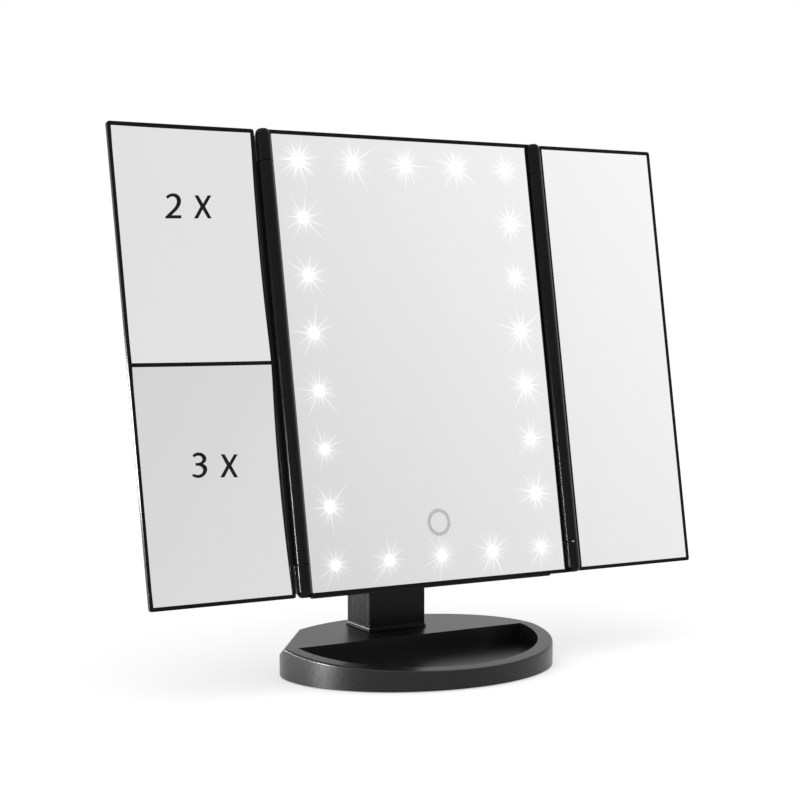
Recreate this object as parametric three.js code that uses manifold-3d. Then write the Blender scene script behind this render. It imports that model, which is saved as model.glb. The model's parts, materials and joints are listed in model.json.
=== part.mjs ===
// Tri-fold lighted makeup mirror on a tray stand, shown with both wings open and the head tilted back.
// Millimetres, +Z up, +Y to the back, origin at the middle of the resting face.
import * as THREE from "three";
import { mergeVertices } from "three/addons/utils/BufferGeometryUtils.js";
import Module from "manifold-3d";

const wasm = await Module();
wasm.setup();

// Clearances
const GAP = 0.3; // between pieces that rest on or slide in each other
const WING_GAP = 0.8; // between a hinge column and its wing
const BARREL_GAP = 0.4; // between a wing's barrel and the fixed end pieces of its column
const WALL = 2.2; // moulded walls of the housings
const WELD = 1; // how far bodies that are joined into one reach into each other
const PAST = 10; // how far a cutting body reaches past what it cuts

// One kind of pan-head screw holds everything but the tilt axis; only its length differs.
const SCREW = { shaft: 1.25, head: 2.6, headHeight: 1.2 };
const SCREW_HOLE = SCREW.shaft + GAP;
const SCREW_SEAT = SCREW.head + GAP;
const BASE_SCREW_LENGTH = 3.3;
const POST_SCREW_LENGTH = 13;
const COVER_SCREW_LENGTH = 6.5;

// Base: a half ellipse in front of its widest line, a shorter one behind it, and a slanted left back corner
const BASE_HALF_WIDTH = 80.5;
const BASE_FRONT_REACH = 65.4;
const BASE_BACK_REACH = 57.2;
const BASE_WIDEST_Y = 4.1;
const BASE_SLANT = { sideY: 8.6, backX: 48.2, fall: 50 }; // ends of its top edge, degrees from level
const BASE_TOP_HEIGHT = 17; // at the widest line
const BASE_TOP_SLOPE = { front: 0.1, back: 0.04 }; // rise to the back, on either side of that line
const BASE_EDGE_ROUND = 1.2;
const BASE_CURVE_STEP = 7;
const FOOT_STANDOUT = 0.5;
const TRAY = { halfWidth: 73.2, reach: 61, floor: 6, behindWidest: 3.25 };
const BOTTOM_PLATE_THICKNESS = 2.2;
const BASE_BOSS_RADIUS = 3.6;
const BALLAST = { halfWidth: 36, front: 11.6, back: 45.6, thickness: 9, corner: 3 };
const FOOT = { radius: 6, height: 1.1, edge: 0.3 };
const FOOT_PLACES = [[-40, -34.4], [40, -34.4], [52, 24.6], [-52, 24.6]];
const BASE_SCREW_PLACES = [[-36, -21.4], [36, -21.4], [42, 38.6], [-42, 38.6]];

// Post with a forked top
const POST = { halfWidth: 18.5, front: 23.85, back: 48.85, corner: 1.2, wall: 2.6, innerCorner: 1 };
const POST_TOP_STEP = 3; // along the round top
const POST_SKIRT = { out: 1, height: 2.4 };
const POST_SCREW_X = 10;
const POST_PAD = { radius: 4.5, thickness: 1 }; // flat pads under the sloping top, for the screw heads
const POST_BOSS = { radius: 4.2, rib: 1, cap: 3 };
const TILT_AXIS_HEIGHT = 97;
const BOLT = { radius: 2.5, head: 4.6, headHeight: 3, recess: 3.6, recessRadius: 5.1 };
const LUG = { radius: 8.5, halfWidth: 7.4 };
const WASHER = { radius: 7.5, thickness: 1 };
const FORK = { depth: 13, floor: 4 }; // slot floor below the tilt axis, and its thickness

// Head: centre of the mirror face, and its lean to the back
const HEAD_CENTRE = { y: -3.15, z: 170 };
const HEAD_TILT = THREE.MathUtils.degToRad(10.12);

// Centre panel, in its own frame: x across, y up along the face, z out of the face
const MIRROR_HALF_WIDTH = 81.1;
const MIRROR_HALF_HEIGHT = 119.9;
const MIRROR_RECESS = 0.25;
const CENTRE_MIRROR_THICKNESS = 2.75;
const FRAME_SIDE_BORDER = 0.7;
const FRAME_END_BORDER = 1.8;
const FRAME_DEPTH = 8.5;
const FRAME_LEDGE = 4.2;
const PANEL_CORNER = 6.5;
const SIDE_SLANT = { front: 4, inset: 6 }; // the frame's sides lean in from this depth to its back
const COVER_DEPTH = 4.2;
const COVER_ROUND = 2;
const COVER_LIP = { out: 0.9, halfWidth: 77, depth: 2.6, corner: 0.8 };
const COVER_ROOM_INSET = 0.5; // of the cover's hollow inside the frame's opening
const COVER_SCREW_INSET = 6.5; // inside the hinge axes

// Hinge columns
const BARREL_RADIUS = 4;
const HINGE_STANDOUT = 0.45; // hinge axis in front of the frame's face
const END_PIECE_HEIGHT = 17;
const COLUMN_END = { inset: 2.4, height: 3.2 }; // rounding at the ends of a column
const PIN_RADIUS = 1;
const PIN_REACH = 8.5;

// Wings
const WING_HALF_HEIGHT = 121.7;
const WING_THICKNESS = 5;
const WING_SIDE_BAND = 2.2;
const WING_BORDER = 1.75;
const WING_CORNER = 1.3;
const WING_BACK = { inset: 3, edge: 1.1, edgeRise: 0.7 }; // the slope behind the side band
const WING_WEB = { front: 0.2, back: 3 }; // below the face
const WING_MEETING_GAP = 0.8; // between the two wings when both are folded in
const WING_MIRROR_THICKNESS = 3;
const DIVIDER = 1.4;
const VIEWING_DISTANCE = 350; // for which the magnifying mirrors are curved

// Lights behind the centre mirror
const LED_INSET = { side: 14.8, end: 13.4 }; // rows of lights, inside the mirror's edges
const LEDS_PER_SIDE = 8;
const LEDS_PER_END = 3;
const LED_SIZE = { width: 3.5, height: 2.8, depth: 0.8 };
const LED_BOARD = { width: 10, thickness: 1.2 };
const LED_REST_HALF = 3.5;
const DIFFUSER_THICKNESS = 0.7;

// Touch button and electronics
const TOUCH = { rise: 31.6, radius: 7.4, clear: 1, stem: 2.2 }; // rise from the mirror's lower edge
const CONTROL_BOARD = { halfWidth: 41, halfHeight: 13, thickness: 1.2 };
const CHIPS = [
  { x: 18, half: 4, height: 1.2 },
  { x: -21, half: 3, height: 1.6 },
];
const CHOKE = { x: 31, rise: 5, radius: 3, height: 1.6 };
const BOARD_POST = { radius: 2, inset: 2.5 };

// Battery box on the back, with the tilt bracket below it
const CELL = { radius: 7.1, length: 50.5, pitch: 15, nub: 1, nubRadius: 2.6 };
const CELLS = 4;
const CONTACT = { room: 4.25, plate: 0.5, radius: 4.6, tip: 2.4, sideMargin: 1, edgeMargin: 0.6 };
const HUMP = { halfWidth: 36, depth: 14, round: 3, corner: 6, belowTilt: 27, aboveBox: 4.4 };
const BOX_ABOVE_TILT = 25.5;
const BOX_FLOOR_THICKNESS = 1.5;
const BOX_SIDE_MARGIN = 1; // beside the outer cells
const DOOR = { thickness: 2, overlap: 1.5, tongue: 1, tongueLow: 0.8, tongueHigh: 1.4 };
const BRACKET = {
  halfWidth: 16, thickness: 4, corner: 3, screwX: 11.7, armHalfHeight: 7, rib: 2,
  skin: 0.6, // left under the screw holes
};
const SWITCH = { x: -25, halfWidth: 4, halfHeight: 9, depth: 6, pocket: 2.4, travel: 4 };
const KNOB = { halfWidth: 1.9, halfHeight: 2.9, standout: 1.4 };
const KNOB_GROOVE = { offset: 1, halfWidth: 0.3, depth: 0.4 };
const USB = { x: 18, halfWidth: 3.75, height: 2.6, depth: 5.6, rise: 5.5, rim: 0.4, setback: 0.5 };

// Derived places
const BASE_BACK_Y = BASE_WIDEST_Y + BASE_BACK_REACH;
const LED_SIDE_X = MIRROR_HALF_WIDTH - LED_INSET.side;
const LED_END_Y = MIRROR_HALF_HEIGHT - LED_INSET.end;
const TOUCH_Y = TOUCH.rise - MIRROR_HALF_HEIGHT;
const FRAME_HALF_HEIGHT = MIRROR_HALF_HEIGHT + GAP + FRAME_END_BORDER;
const FRAME_FRONT_HALF_WIDTH = MIRROR_HALF_WIDTH + GAP + FRAME_SIDE_BORDER;
const HINGE_X = FRAME_FRONT_HALF_WIDTH + GAP + BARREL_RADIUS;
const COLUMN_OUT_X = HINGE_X + BARREL_RADIUS;
const BARREL_HALF_HEIGHT = FRAME_HALF_HEIGHT - END_PIECE_HEIGHT - BARREL_GAP;
const WING_INNER_X = COLUMN_OUT_X + WING_GAP;
const WING_OUTER_X = 2 * HINGE_X - WING_MEETING_GAP / 2;
const MIRROR_SEAT_Z = -MIRROR_RECESS - CENTRE_MIRROR_THICKNESS - GAP;
const DIFFUSER_BACK_Z = MIRROR_SEAT_Z - DIFFUSER_THICKNESS;
const LED_FACE_Z = DIFFUSER_BACK_Z - GAP;
const BOARD_BACK_Z = LED_FACE_Z - LED_SIZE.depth - LED_BOARD.thickness;
const FRAME_BACK_Z = -FRAME_DEPTH;
const COVER_FRONT_Z = FRAME_BACK_Z - GAP;
const COVER_BACK_Z = COVER_FRONT_Z - COVER_DEPTH;
const COVER_FLOOR_Z = COVER_BACK_Z + WALL;
const FRAME_OPEN_X = MIRROR_HALF_WIDTH + GAP - FRAME_LEDGE;
const FRAME_OPEN_Y = MIRROR_HALF_HEIGHT + GAP - FRAME_LEDGE;
const HUMP_BACK_Z = COVER_BACK_Z - HUMP.depth;
const HUMP_WALL_Z = HUMP_BACK_Z + WALL;
const PLATE_TOP_Z = FOOT_STANDOUT + BOTTOM_PLATE_THICKNESS;
const TRAY_BACK_Y = BASE_WIDEST_Y + TRAY.behindWidest;
const POST_MID_Y = (POST.front + POST.back) / 2;
const POST_MID_TOP = baseTop(POST_MID_Y) - WALL;

// The tilt axis in the panel's frame
const TILT = toPanel(POST_MID_Y, TILT_AXIS_HEIGHT);
const HUMP_BOTTOM_Y = TILT.y - HUMP.belowTilt;
const BOX_BOTTOM_Y = TILT.y + BOX_ABOVE_TILT;
const BOX_TOP_Y = BOX_BOTTOM_Y + CELL.length + 2 * CONTACT.room;
const HUMP_TOP_Y = BOX_TOP_Y + HUMP.aboveBox;
const BOX_HALF_WIDTH = (CELLS * CELL.pitch) / 2 + BOX_SIDE_MARGIN;
const CELL_Z = HUMP_BACK_Z + DOOR.thickness + 3 * GAP + CELL.radius;
const BOX_FLOOR_Z = CELL_Z + CELL.radius + GAP;

function frontTop(y) {
  return BASE_TOP_HEIGHT + BASE_TOP_SLOPE.front * (y - BASE_WIDEST_Y);
}

function backTop(y) {
  return BASE_TOP_HEIGHT + BASE_TOP_SLOPE.back * (y - BASE_WIDEST_Y);
}

function baseTop(y) {
  return Math.min(frontTop(y), backTop(y));
}

function toPanel(y, z) {
  const dy = y - HEAD_CENTRE.y;
  const dz = z - HEAD_CENTRE.z;
  const sin = Math.sin(HEAD_TILT);
  const cos = Math.cos(HEAD_TILT);
  return { y: dy * sin + dz * cos, z: dz * sin - dy * cos };
}

// Solids from three.js geometries

function toSolid(geometry) {
  geometry.deleteAttribute("normal");
  geometry.deleteAttribute("uv");
  const merged = mergeVertices(geometry, 1e-4);
  return new wasm.Manifold(
    new wasm.Mesh({
      numProp: 3,
      vertProperties: merged.attributes.position.array,
      triVerts: new Uint32Array(merged.index.array),
    }),
  );
}

function toGeometry(solid) {
  const { numProp, vertProperties, triVerts } = solid.getMesh();
  const data = new THREE.InterleavedBuffer(vertProperties, numProp);
  const shared = new THREE.BufferGeometry();
  shared.setAttribute("position", new THREE.InterleavedBufferAttribute(data, 3, 0));
  shared.setIndex(new THREE.BufferAttribute(triVerts, 1));
  const flat = shared.toNonIndexed();
  flat.computeVertexNormals();
  return flat;
}

function union(...solids) {
  return solids.reduce((sum, next) => sum.add(next));
}

// Two places on an axis in rising order.
function between(a, b) {
  return [Math.min(a, b), Math.max(a, b)];
}

function cut(solid, ...tools) {
  return tools.reduce((rest, tool) => rest.subtract(tool), solid);
}

// Turns z to x (and x to y, y to z), z to y, or leaves z.
function alongAxis(geometry, axis) {
  const turns = { x: 1, y: 2, z: 0 }[axis];
  const cycle = new THREE.Matrix4().set(0, 0, 1, 0, 1, 0, 0, 0, 0, 1, 0, 0, 0, 0, 0, 1);
  for (let i = 0; i < turns; i += 1) geometry.applyMatrix4(cycle);
  return geometry;
}

function box(x0, x1, y0, y1, z0, z1) {
  const geometry = new THREE.BoxGeometry(x1 - x0, y1 - y0, z1 - z0);
  geometry.translate((x0 + x1) / 2, (y0 + y1) / 2, (z0 + z1) / 2);
  return toSolid(geometry);
}

// A rod along an axis; a and b are its place on the two axes that follow it in the order x, y, z, x, y.
function rod(axis, radius, from, to, a = 0, b = 0, sides = 20) {
  const geometry = new THREE.CylinderGeometry(radius, radius, to - from, sides);
  geometry.rotateX(Math.PI / 2);
  geometry.translate(a, b, (from + to) / 2);
  return toSolid(alongAxis(geometry, axis));
}

// A closed body through rings of equal length, each counter-clockwise seen from above, lowest first.
function loft(rings) {
  const count = rings[0].length;
  const positions = rings.flat().flatMap((p) => [p.x, p.y, p.z]);
  const index = [];
  for (let k = 0; k + 1 < rings.length; k += 1) {
    for (let i = 0; i < count; i += 1) {
      const a = k * count + i;
      const b = k * count + ((i + 1) % count);
      index.push(a, b, b + count, a, b + count, a + count);
    }
  }
  const last = (rings.length - 1) * count;
  for (const [a, b, c] of THREE.ShapeUtils.triangulateShape(rings[0], [])) {
    index.push(a, c, b, last + a, last + b, last + c);
  }
  const geometry = new THREE.BufferGeometry();
  geometry.setAttribute("position", new THREE.Float32BufferAttribute(positions, 3));
  geometry.setIndex(index);
  return geometry;
}

function atHeight(points, z) {
  return points.map((p) => new THREE.Vector3(p.x, p.y, typeof z === "function" ? z(p.y) : z));
}

function prism(points, from, to, axis = "z") {
  return toSolid(alongAxis(loft([atHeight(points, from), atHeight(points, to)]), axis));
}

// Corner arcs of a rectangle, counter-clockwise.
function roundedRect(x0, x1, y0, y1, radius, steps = 4) {
  const corners = [
    [x1 - radius, y0 + radius, -Math.PI / 2],
    [x1 - radius, y1 - radius, 0],
    [x0 + radius, y1 - radius, Math.PI / 2],
    [x0 + radius, y0 + radius, Math.PI],
  ];
  return corners.flatMap(([cx, cy, start]) =>
    Array.from({ length: steps + 1 }, (_, i) => {
      const angle = start + (i / steps) * (Math.PI / 2);
      return new THREE.Vector2(cx + radius * Math.cos(angle), cy + radius * Math.sin(angle));
    }),
  );
}

// The outline moved in by a distance, along the mean normal at each point.
function inset(points, distance) {
  return points.map((p, i) => {
    const before = points[(i + points.length - 1) % points.length];
    const after = points[(i + 1) % points.length];
    const along = after.clone().sub(before).normalize();
    return new THREE.Vector2(p.x - distance * along.y, p.y + distance * along.x);
  });
}

// Points of a closed shape, its curves in steps of about this length and its lines by their ends.
function curvePoints(shape, step) {
  const points = shape.curves.flatMap((curve) => {
    const steps = curve.isLineCurve ? 1 : Math.max(3, Math.round(curve.getLength() / step));
    return curve.getPoints(steps);
  });
  return points.filter((p, i) => p.distanceTo(points[(i + 1) % points.length]) > 1e-3);
}

// A body of revolution about z from [radius, z] points that start and end on the axis.
function turned(profile, sides) {
  const body = new THREE.LatheGeometry(profile.map(([r, z]) => new THREE.Vector2(r, z)), sides);
  return toSolid(body.rotateX(Math.PI / 2));
}

// A screw standing on its head, shaft up, with a cross recess.
function screw(length) {
  const { shaft, head, headHeight } = SCREW;
  const edge = 0.4;
  const body = turned(
    [
      [0, 0],
      [head - edge, 0],
      [head, edge],
      [head, headHeight],
      [shaft, headHeight],
      [shaft, headHeight + length],
      [0, headHeight + length],
    ],
    12,
  );
  const arm = head * 0.6;
  const slot = 0.35;
  const recess = headHeight * 0.5;
  return cut(
    body,
    box(-arm, arm, -slot, slot, -1, recess),
    box(-slot, slot, -arm, arm, -1, recess),
  );
}

// Base

function baseOutline() {
  const shape = new THREE.Shape();
  shape.absellipse(0, BASE_WIDEST_Y, BASE_HALF_WIDTH, BASE_FRONT_REACH, Math.PI, 2 * Math.PI);
  shape.absellipse(0, BASE_WIDEST_Y, BASE_HALF_WIDTH, BASE_BACK_REACH, 0, Math.PI);
  return curvePoints(shape, BASE_CURVE_STEP);
}

// The body without its left back corner, cut off along the slant moved in by a depth.
function slantCorner(solid, depth) {
  const share = BASE_SLANT.backX / BASE_HALF_WIDTH;
  const backY = BASE_WIDEST_Y + BASE_BACK_REACH * Math.sqrt(1 - share ** 2);
  const fall = THREE.MathUtils.degToRad(BASE_SLANT.fall);
  const start = new THREE.Vector3(-BASE_HALF_WIDTH, BASE_SLANT.sideY, baseTop(BASE_SLANT.sideY));
  const end = new THREE.Vector3(-BASE_SLANT.backX, backY, baseTop(backY));
  const along = end.clone().sub(start);
  const down = new THREE.Vector3(-along.y, along.x, 0).setLength(Math.cos(fall));
  down.z = -Math.sin(fall);
  const inward = down.cross(along).normalize();
  return solid.trimByPlane(inward.toArray(), inward.dot(start) + depth);
}

// Bodies under the front and the back slope of the top, kept where both are.
function underTop(makeRings) {
  const [front, back] = [frontTop, backTop].map((top) => toSolid(loft(makeRings(top))));
  return front.intersect(back);
}

function trayOutline(grow) {
  const shape = new THREE.Shape();
  shape.absellipse(
    0, TRAY_BACK_Y + grow, TRAY.halfWidth + grow, TRAY.reach + 2 * grow, Math.PI, 2 * Math.PI,
  );
  return curvePoints(shape, BASE_CURVE_STEP);
}

function baseScrewHole(x, y) {
  const end = FOOT_STANDOUT + SCREW.headHeight + BASE_SCREW_LENGTH + GAP;
  return rod("z", SCREW_HOLE, 0, end, x, y, 12);
}

function baseRings(top) {
  const outline = baseOutline();
  const steps = 3;
  const rings = [atHeight(outline, FOOT_STANDOUT)];
  for (let i = 0; i <= steps; i += 1) {
    const angle = (i / steps) * (Math.PI / 2);
    const inward = BASE_EDGE_ROUND * (1 - Math.cos(angle));
    const drop = BASE_EDGE_ROUND * (1 - Math.sin(angle));
    rings.push(atHeight(inset(outline, inward), (y) => top(y) - drop));
  }
  return rings;
}

function makeBaseShell() {
  const inner = inset(baseOutline(), WALL);
  const room = underTop((top) => [atHeight(inner, -WELD), atHeight(inner, (y) => top(y) - WALL)]);
  const trayBlock = prism(trayOutline(WALL), TRAY.floor - WALL, baseTop(BASE_BACK_Y));
  const bosses = BASE_SCREW_PLACES.map(([x, y]) =>
    rod("z", BASE_BOSS_RADIUS, PLATE_TOP_Z + GAP, (y < TRAY_BACK_Y ? TRAY.floor : baseTop(y)) - WELD, x, y),
  );
  const postPads = [-POST_SCREW_X, POST_SCREW_X].map((x) =>
    rod("z", POST_PAD.radius, POST_MID_TOP - POST_PAD.thickness, POST_MID_TOP + WELD, x, POST_MID_Y),
  );
  const postHoles = [-POST_SCREW_X, POST_SCREW_X].map((x) =>
    rod("z", SCREW_HOLE, POST_MID_TOP - PAST, POST_MID_TOP + PAST, x, POST_MID_Y, 12),
  );
  const shell = cut(
    slantCorner(underTop(baseRings), 0),
    slantCorner(room, WALL).subtract(trayBlock),
  );
  return cut(
    union(shell, ...bosses, ...postPads),
    prism(trayOutline(0), TRAY.floor, baseTop(BASE_BACK_Y) + PAST),
    ...BASE_SCREW_PLACES.map(([x, y]) => baseScrewHole(x, y)),
    ...postHoles,
  );
}

function makeBottomPlate() {
  const outline = inset(baseOutline(), WALL + GAP);
  const recesses = FOOT_PLACES.map(([x, y]) =>
    rod("z", FOOT.radius + GAP, -PAST, FOOT.height + GAP, x, y),
  );
  const seatTop = FOOT_STANDOUT + SCREW.headHeight + GAP;
  const heads = BASE_SCREW_PLACES.map(([x, y]) => rod("z", SCREW_SEAT, 0, seatTop, x, y));
  const holes = BASE_SCREW_PLACES.map(([x, y]) => baseScrewHole(x, y));
  return cut(prism(outline, FOOT_STANDOUT, PLATE_TOP_Z), ...recesses, ...heads, ...holes);
}

function makeBallast() {
  const bottom = PLATE_TOP_Z + GAP;
  const outline = roundedRect(
    -BALLAST.halfWidth, BALLAST.halfWidth, BALLAST.front, BALLAST.back, BALLAST.corner, 3,
  );
  return prism(outline, bottom, bottom + BALLAST.thickness);
}

function makeFoot() {
  return turned(
    [
      [0, 0],
      [FOOT.radius - FOOT.edge, 0],
      [FOOT.radius, FOOT.edge],
      [FOOT.radius, FOOT.height],
      [0, FOOT.height],
    ],
    20,
  );
}

// Post and tilt hinge

function postOutline(grow) {
  return roundedRect(
    -POST.halfWidth - grow, POST.halfWidth + grow, POST.front - grow, POST.back + grow,
    POST.corner + grow,
  );
}

function makePost() {
  const seat = (rise) => (y) => baseTop(y) + GAP + rise;
  const top = TILT_AXIS_HEIGHT + POST.halfWidth;
  const shoulder = baseTop(POST.back) + 2 * POST_SKIRT.height;
  const body = toSolid(
    loft([
      atHeight(postOutline(POST_SKIRT.out), seat(0)),
      atHeight(postOutline(POST_SKIRT.out), seat(POST_SKIRT.height / 4)),
      atHeight(postOutline(POST_SKIRT.out / 4), seat(POST_SKIRT.height / 2)),
      atHeight(postOutline(0), seat(POST_SKIRT.height)),
      atHeight(postOutline(0), top),
    ]),
  );
  const radius = (POST.back - POST.front) / 2;
  const side = new THREE.Shape();
  side.moveTo(POST.front - PAST, 0);
  side.lineTo(POST.back + PAST, 0);
  side.lineTo(POST.back + PAST, shoulder);
  side.lineTo(POST.back, shoulder);
  side.absarc(POST_MID_Y, TILT_AXIS_HEIGHT, radius, 0, Math.PI);
  side.lineTo(POST.front, shoulder);
  side.lineTo(POST.front - PAST, shoulder);
  const sideView = prism(curvePoints(side, POST_TOP_STEP), -top, top, "x");
  const slotHalf = LUG.halfWidth + WASHER.thickness + 2 * GAP;
  const slotFloor = TILT_AXIS_HEIGHT - FORK.depth;
  const slot = box(
    -slotHalf, slotHalf, POST.front - PAST, POST.back + PAST, slotFloor, top + PAST,
  );
  const room = prism(
    roundedRect(
      -POST.halfWidth + POST.wall, POST.halfWidth - POST.wall,
      POST.front + POST.wall, POST.back - POST.wall, POST.innerCorner, 3,
    ),
    0,
    slotFloor - FORK.floor,
  );
  const bossTop = POST_MID_TOP + POST_SCREW_LENGTH + POST_BOSS.cap;
  const bosses = [-POST_SCREW_X, POST_SCREW_X].flatMap((x) => [
    rod("z", POST_BOSS.radius, 0, bossTop, x, POST_MID_Y),
    box(x - POST_BOSS.rib, x + POST_BOSS.rib, POST.front, POST.back, 0, bossTop),
  ]);
  const screwHoles = [-POST_SCREW_X, POST_SCREW_X].map((x) =>
    rod("z", SCREW_HOLE, 0, POST_MID_TOP + POST_SCREW_LENGTH, x, POST_MID_Y, 12),
  );
  const recesses = [-1, 1].map((end) => {
    const reach = between(end * (POST.halfWidth - BOLT.recess), end * (POST.halfWidth + PAST));
    return rod("x", BOLT.recessRadius, ...reach, POST_MID_Y, TILT_AXIS_HEIGHT);
  });
  const bore = rod(
    "x", BOLT.radius + GAP, -POST.halfWidth, POST.halfWidth, POST_MID_Y, TILT_AXIS_HEIGHT,
  );
  return cut(
    body.intersect(sideView), slot, room.subtract(union(...bosses)), ...screwHoles, ...recesses, bore,
  );
}

// Tilt hardware, along x, centred on the tilt axis

function makeTiltBolt() {
  const seat = POST.halfWidth - BOLT.recess + GAP;
  const end = seat + BOLT.headHeight;
  const socket = rod("x", BOLT.head / 2, -end - PAST, -end + BOLT.headHeight / 2, 0, 0, 6);
  const shaft = rod("x", BOLT.radius, -seat - WELD, end);
  return cut(union(rod("x", BOLT.head, -end, -seat), shaft), socket);
}

function makeTiltNut() {
  const near = POST.halfWidth - BOLT.recess + GAP;
  return cut(
    rod("x", BOLT.head, near, near + BOLT.headHeight, 0, 0, 6),
    rod("x", BOLT.radius + GAP, 0, POST.halfWidth + PAST),
  );
}

function makeWasher() {
  const half = WASHER.thickness / 2;
  return cut(rod("x", WASHER.radius, -half, half), rod("x", BOLT.radius + GAP, -PAST, PAST));
}

// Bracket plate on the hump, with the arm and knuckle that the post's fork holds; in the panel's frame.
function makeTiltBracket() {
  const front = HUMP_BACK_Z - GAP;
  const back = front - BRACKET.thickness;
  const plate = prism(
    roundedRect(
      -BRACKET.halfWidth, BRACKET.halfWidth,
      TILT.y - BRACKET.halfWidth, TILT.y + BRACKET.halfWidth, BRACKET.corner, 3,
    ),
    back,
    front,
  );
  const arm = box(
    -LUG.halfWidth, LUG.halfWidth,
    TILT.y - BRACKET.armHalfHeight, TILT.y + BRACKET.armHalfHeight, TILT.z, front - WELD,
  );
  const lug = rod("x", LUG.radius, -LUG.halfWidth, LUG.halfWidth, TILT.y, TILT.z, 32);
  const ribReach = BRACKET.halfWidth - BRACKET.rib;
  const ribShape = [
    new THREE.Vector2(TILT.y - ribReach, back + WELD),
    new THREE.Vector2(TILT.y, TILT.z + LUG.radius),
    new THREE.Vector2(TILT.y + ribReach, back + WELD),
  ];
  const ribs = prism(ribShape, -BRACKET.rib, BRACKET.rib, "x");
  const bore = rod(
    "x", BOLT.radius + GAP, -LUG.halfWidth - PAST, LUG.halfWidth + PAST, TILT.y, TILT.z,
  );
  const screwHoles = [-BRACKET.screwX, BRACKET.screwX].map((x) =>
    rod("z", SCREW_HOLE, back + BRACKET.skin, front + PAST, x, TILT.y, 12),
  );
  return cut(union(plate, arm, lug, ribs), bore, ...screwHoles);
}

// Centre panel, in its own frame

function panelOutline(narrower, inward = 0) {
  const halfWidth = COLUMN_OUT_X - narrower - inward;
  const halfHeight = FRAME_HALF_HEIGHT - inward;
  return roundedRect(-halfWidth, halfWidth, -halfHeight, halfHeight, PANEL_CORNER - inward);
}

const COVER_SCREW_PLACES = [-1, 1].flatMap((side) =>
  [-1, 1].map((end) => [
    side * (HINGE_X - COVER_SCREW_INSET),
    end * (FRAME_HALF_HEIGHT - END_PIECE_HEIGHT / 2),
  ]),
);

// The room that a wing's barrel turns in, open to the front and to the wing.
function barrelChannel(side) {
  const radius = BARREL_RADIUS + GAP;
  const half = BARREL_HALF_HEIGHT + BARREL_GAP;
  const inner = FRAME_FRONT_HALF_WIDTH;
  const outer = COLUMN_OUT_X + PAST;
  return union(
    rod("y", radius, -half, half, HINGE_STANDOUT, side * HINGE_X, 32),
    box(...between(side * inner, side * outer), -half, half, HINGE_STANDOUT, PAST),
    box(...between(side * HINGE_X, side * outer), -half, half, HINGE_STANDOUT - radius, PAST),
  );
}

// A round column with rounded ends.
function makeColumn(side) {
  const steps = 5;
  const { inset: inward, height } = COLUMN_END;
  const end = Array.from({ length: steps + 1 }, (_, i) => {
    const angle = (i / steps) * (Math.PI / 2);
    const radius = BARREL_RADIUS - inward * (1 - Math.cos(angle));
    return new THREE.Vector2(radius, FRAME_HALF_HEIGHT - height * (1 - Math.sin(angle)));
  });
  end.push(new THREE.Vector2(0, FRAME_HALF_HEIGHT));
  const start = end.map((p) => new THREE.Vector2(p.x, -p.y)).reverse();
  const body = new THREE.LatheGeometry([...start, ...end], 32);
  return toSolid(body.translate(side * HINGE_X, 0, HINGE_STANDOUT));
}

function makeFrontFrame() {
  const slab = toSolid(
    loft([
      atHeight(panelOutline(SIDE_SLANT.inset), FRAME_BACK_Z),
      atHeight(panelOutline(0), -SIDE_SLANT.front),
      atHeight(panelOutline(0), 0),
    ]),
  );
  const pocket = box(
    -MIRROR_HALF_WIDTH - GAP, MIRROR_HALF_WIDTH + GAP,
    -MIRROR_HALF_HEIGHT - GAP, MIRROR_HALF_HEIGHT + GAP, MIRROR_SEAT_Z, PAST,
  );
  const opening = box(
    -FRAME_OPEN_X, FRAME_OPEN_X, -FRAME_OPEN_Y, FRAME_OPEN_Y, FRAME_BACK_Z - PAST, PAST,
  );
  const pinHoles = [-1, 1].flatMap((side) =>
    [-1, 1].map((end) => {
      const reach = between(end * BARREL_HALF_HEIGHT, end * (BARREL_HALF_HEIGHT + BARREL_GAP + PIN_REACH));
      return rod("y", PIN_RADIUS + GAP, ...reach, HINGE_STANDOUT, side * HINGE_X, 12);
    }),
  );
  const screwEnd = COVER_BACK_Z + SCREW.headHeight + COVER_SCREW_LENGTH + GAP;
  const screwHoles = COVER_SCREW_PLACES.map(([x, y]) =>
    rod("z", SCREW_HOLE, COVER_BACK_Z, screwEnd, x, y, 12),
  );
  return cut(
    union(slab, makeColumn(-1), makeColumn(1)),
    pocket, opening, barrelChannel(-1), barrelChannel(1), ...pinHoles, ...screwHoles,
  );
}

function makeCentreMirror() {
  return box(
    -MIRROR_HALF_WIDTH, MIRROR_HALF_WIDTH, -MIRROR_HALF_HEIGHT, MIRROR_HALF_HEIGHT,
    -MIRROR_RECESS - CENTRE_MIRROR_THICKNESS, -MIRROR_RECESS,
  );
}

function makeDiffuser() {
  const x = FRAME_OPEN_X - GAP;
  const y = FRAME_OPEN_Y - GAP;
  return cut(
    box(-x, x, -y, y, DIFFUSER_BACK_Z, MIRROR_SEAT_Z),
    rod("z", TOUCH.radius + TOUCH.clear, DIFFUSER_BACK_Z - PAST, PAST, 0, TOUCH_Y, 32),
  );
}

function led(x, y) {
  return box(
    x - LED_SIZE.width / 2, x + LED_SIZE.width / 2, y - LED_SIZE.height / 2, y + LED_SIZE.height / 2,
    LED_FACE_Z - LED_SIZE.depth - LED_BOARD.thickness / 2, LED_FACE_Z,
  );
}

function makeSideLedBoard(side) {
  const x = side * LED_SIDE_X;
  const half = LED_BOARD.width / 2;
  const board = box(
    x - half, x + half, -LED_END_Y - half, LED_END_Y + half, BOARD_BACK_Z, BOARD_BACK_Z + LED_BOARD.thickness,
  );
  const pitch = (2 * LED_END_Y) / (LEDS_PER_SIDE - 1);
  const leds = Array.from({ length: LEDS_PER_SIDE }, (_, i) => led(x, -LED_END_Y + i * pitch));
  return union(board, ...leds);
}

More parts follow.
